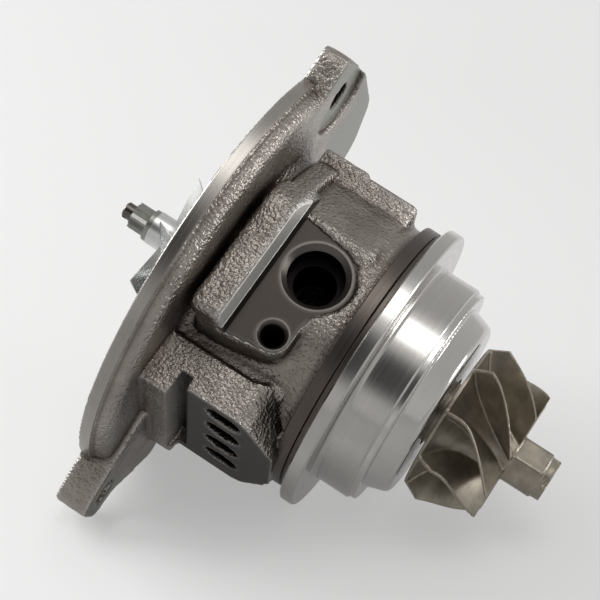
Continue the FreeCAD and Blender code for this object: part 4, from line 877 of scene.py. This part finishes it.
CAMERA_AIM_FROM_RING = (-0.01974, -0.0003, 0.0134)
CAMERA_AZIMUTH = 24.55
CAMERA_ELEVATION = 30.5
CAMERA_ROLL = -1.5
CAMERA_DISTANCE = 0.446
CAMERA_LENS = 120.4


def toward(azimuth, elevation):
    """Unit vector to a place in the studio; azimuth 0 is -Y and grows towards +X."""
    turn, rise = math.radians(azimuth), math.radians(elevation)
    return Vector((
        math.sin(turn) * math.cos(rise), -math.cos(turn) * math.cos(rise), math.sin(rise)))


def floor():
    """Pale studio floor. Its glow is only for the camera and for reflections of it."""
    mesh = bpy.data.meshes.new("floor")
    half = FLOOR_SIZE / 2
    corners = [(-half, -half, 0), (half, -half, 0), (half, half, 0), (-half, half, 0)]
    mesh.from_pydata(corners, [], [(0, 1, 2, 3)])
    obj = bpy.data.objects.new("floor", mesh)
    bpy.context.scene.collection.objects.link(obj)
    material = bpy.data.materials.new("floor")
    material.use_nodes = True
    nodes, links = material.node_tree.nodes, material.node_tree.links
    place = nodes.new("ShaderNodeTexCoord")
    split = nodes.new("ShaderNodeSeparateXYZ")
    links.new(place.outputs["Object"], split.inputs[0])
    rays = nodes.new("ShaderNodeLightPath")

    def glow(ray, numbers):
        share = nodes.new("ShaderNodeMapRange")
        links.new(split.outputs["Y"], share.inputs["Value"])
        for key, number in zip(("From Min", "From Max", "To Min", "To Max"), numbers):
            share.inputs[key].default_value = number
        seen = nodes.new("ShaderNodeMath")
        seen.operation = "MULTIPLY"
        links.new(rays.outputs[ray], seen.inputs[0])
        links.new(share.outputs["Result"], seen.inputs[1])
        return seen.outputs[0]

    both = nodes.new("ShaderNodeMath")
    links.new(glow("Is Camera Ray", FLOOR_SEEN), both.inputs[0])
    links.new(glow("Is Glossy Ray", FLOOR_MIRRORED), both.inputs[1])
    shader = nodes["Principled BSDF"]
    shader.inputs["Base Color"].default_value = (*FLOOR_COLOR, 1)
    shader.inputs["Roughness"].default_value = 0.9
    shader.inputs["Specular IOR Level"].default_value = 0.1
    shader.inputs["Emission Color"].default_value = (1, 1, 1, 1)
    links.new(both.outputs[0], shader.inputs["Emission Strength"])
    mesh.materials.append(material)


def softbox(name, azimuth, elevation, distance, size, radiance):
    """Square area light that faces the cartridge from a direction."""
    data = bpy.data.lights.new(name, "AREA")
    data.shape = "SQUARE"
    data.size = size
    data.energy = radiance * math.pi * size ** 2
    obj = bpy.data.objects.new(name, data)
    way = toward(azimuth, elevation)
    obj.location = way * distance + Vector(SPIN["pos_m"])
    obj.rotation_euler = way.to_track_quat("Z", "Y").to_euler()
    bpy.context.scene.collection.objects.link(obj)


def world():
    """Pale studio, with a dark patch above the camera and a bright one overhead."""
    sky = bpy.data.worlds.new("studio")
    sky.use_nodes = True
    nodes, links = sky.node_tree.nodes, sky.node_tree.links
    way = nodes.new("ShaderNodeTexCoord").outputs["Generated"]
    split = nodes.new("ShaderNodeSeparateXYZ")
    links.new(way, split.inputs[0])

    def eased(value, low, high, out_low, out_high):
        node = nodes.new("ShaderNodeMapRange")
        node.interpolation_type = "SMOOTHSTEP"
        links.new(value, node.inputs["Value"])
        for key, number in (("From Min", low), ("From Max", high)):
            node.inputs[key].default_value = number
        for key, number in (("To Min", out_low), ("To Max", out_high)):
            if isinstance(number, bpy.types.NodeSocket):
                links.new(number, node.inputs[key])
            else:
                node.inputs[key].default_value = number
        return node.outputs["Result"]

    def patch(level, place, core, edge, value):
        near = nodes.new("ShaderNodeVectorMath")
        near.operation = "DOT_PRODUCT"
        links.new(way, near.inputs[0])
        near.inputs[1].default_value = toward(*place)
        low, high = math.cos(math.radians(edge)), math.cos(math.radians(core))
        return eased(near.outputs["Value"], low, high, level, value)

    level = eased(split.outputs["Z"], 0.1, 0.8, SKY_LOW, SKY_HIGH)
    level = patch(level, *DARK_PATCH)
    level = patch(level, *BRIGHT_PATCH)
    back = nodes["Background"]
    links.new(level, back.inputs["Strength"])
    back.inputs["Color"].default_value = (1.0, 0.99, 0.98, 1)
    bpy.context.scene.world = sky


def camera():
    """Long lens at the photograph's angle."""
    data = bpy.data.cameras.new("camera")
    data.lens = CAMERA_LENS
    data.sensor_width = 36
    data.clip_start = 0.01
    obj = bpy.data.objects.new("camera", data)
    back = toward(CAMERA_AZIMUTH, CAMERA_ELEVATION)
    aim = Vector(SPIN["pos_m"]) + Vector(CAMERA_AIM_FROM_RING)
    look = (-back).to_track_quat("-Z", "Y").to_matrix().to_4x4()
    turn = Matrix.Rotation(math.radians(-CAMERA_ROLL), 4, "Z")
    obj.matrix_world = Matrix.Translation(aim + back * CAMERA_DISTANCE) @ look @ turn
    bpy.context.scene.collection.objects.link(obj)
    bpy.context.scene.camera = obj


floor()
world()
camera()
for name, numbers in SOFTBOXES.items():
    softbox(name, *numbers)
bpy.context.scene.view_settings.view_transform = "Standard"
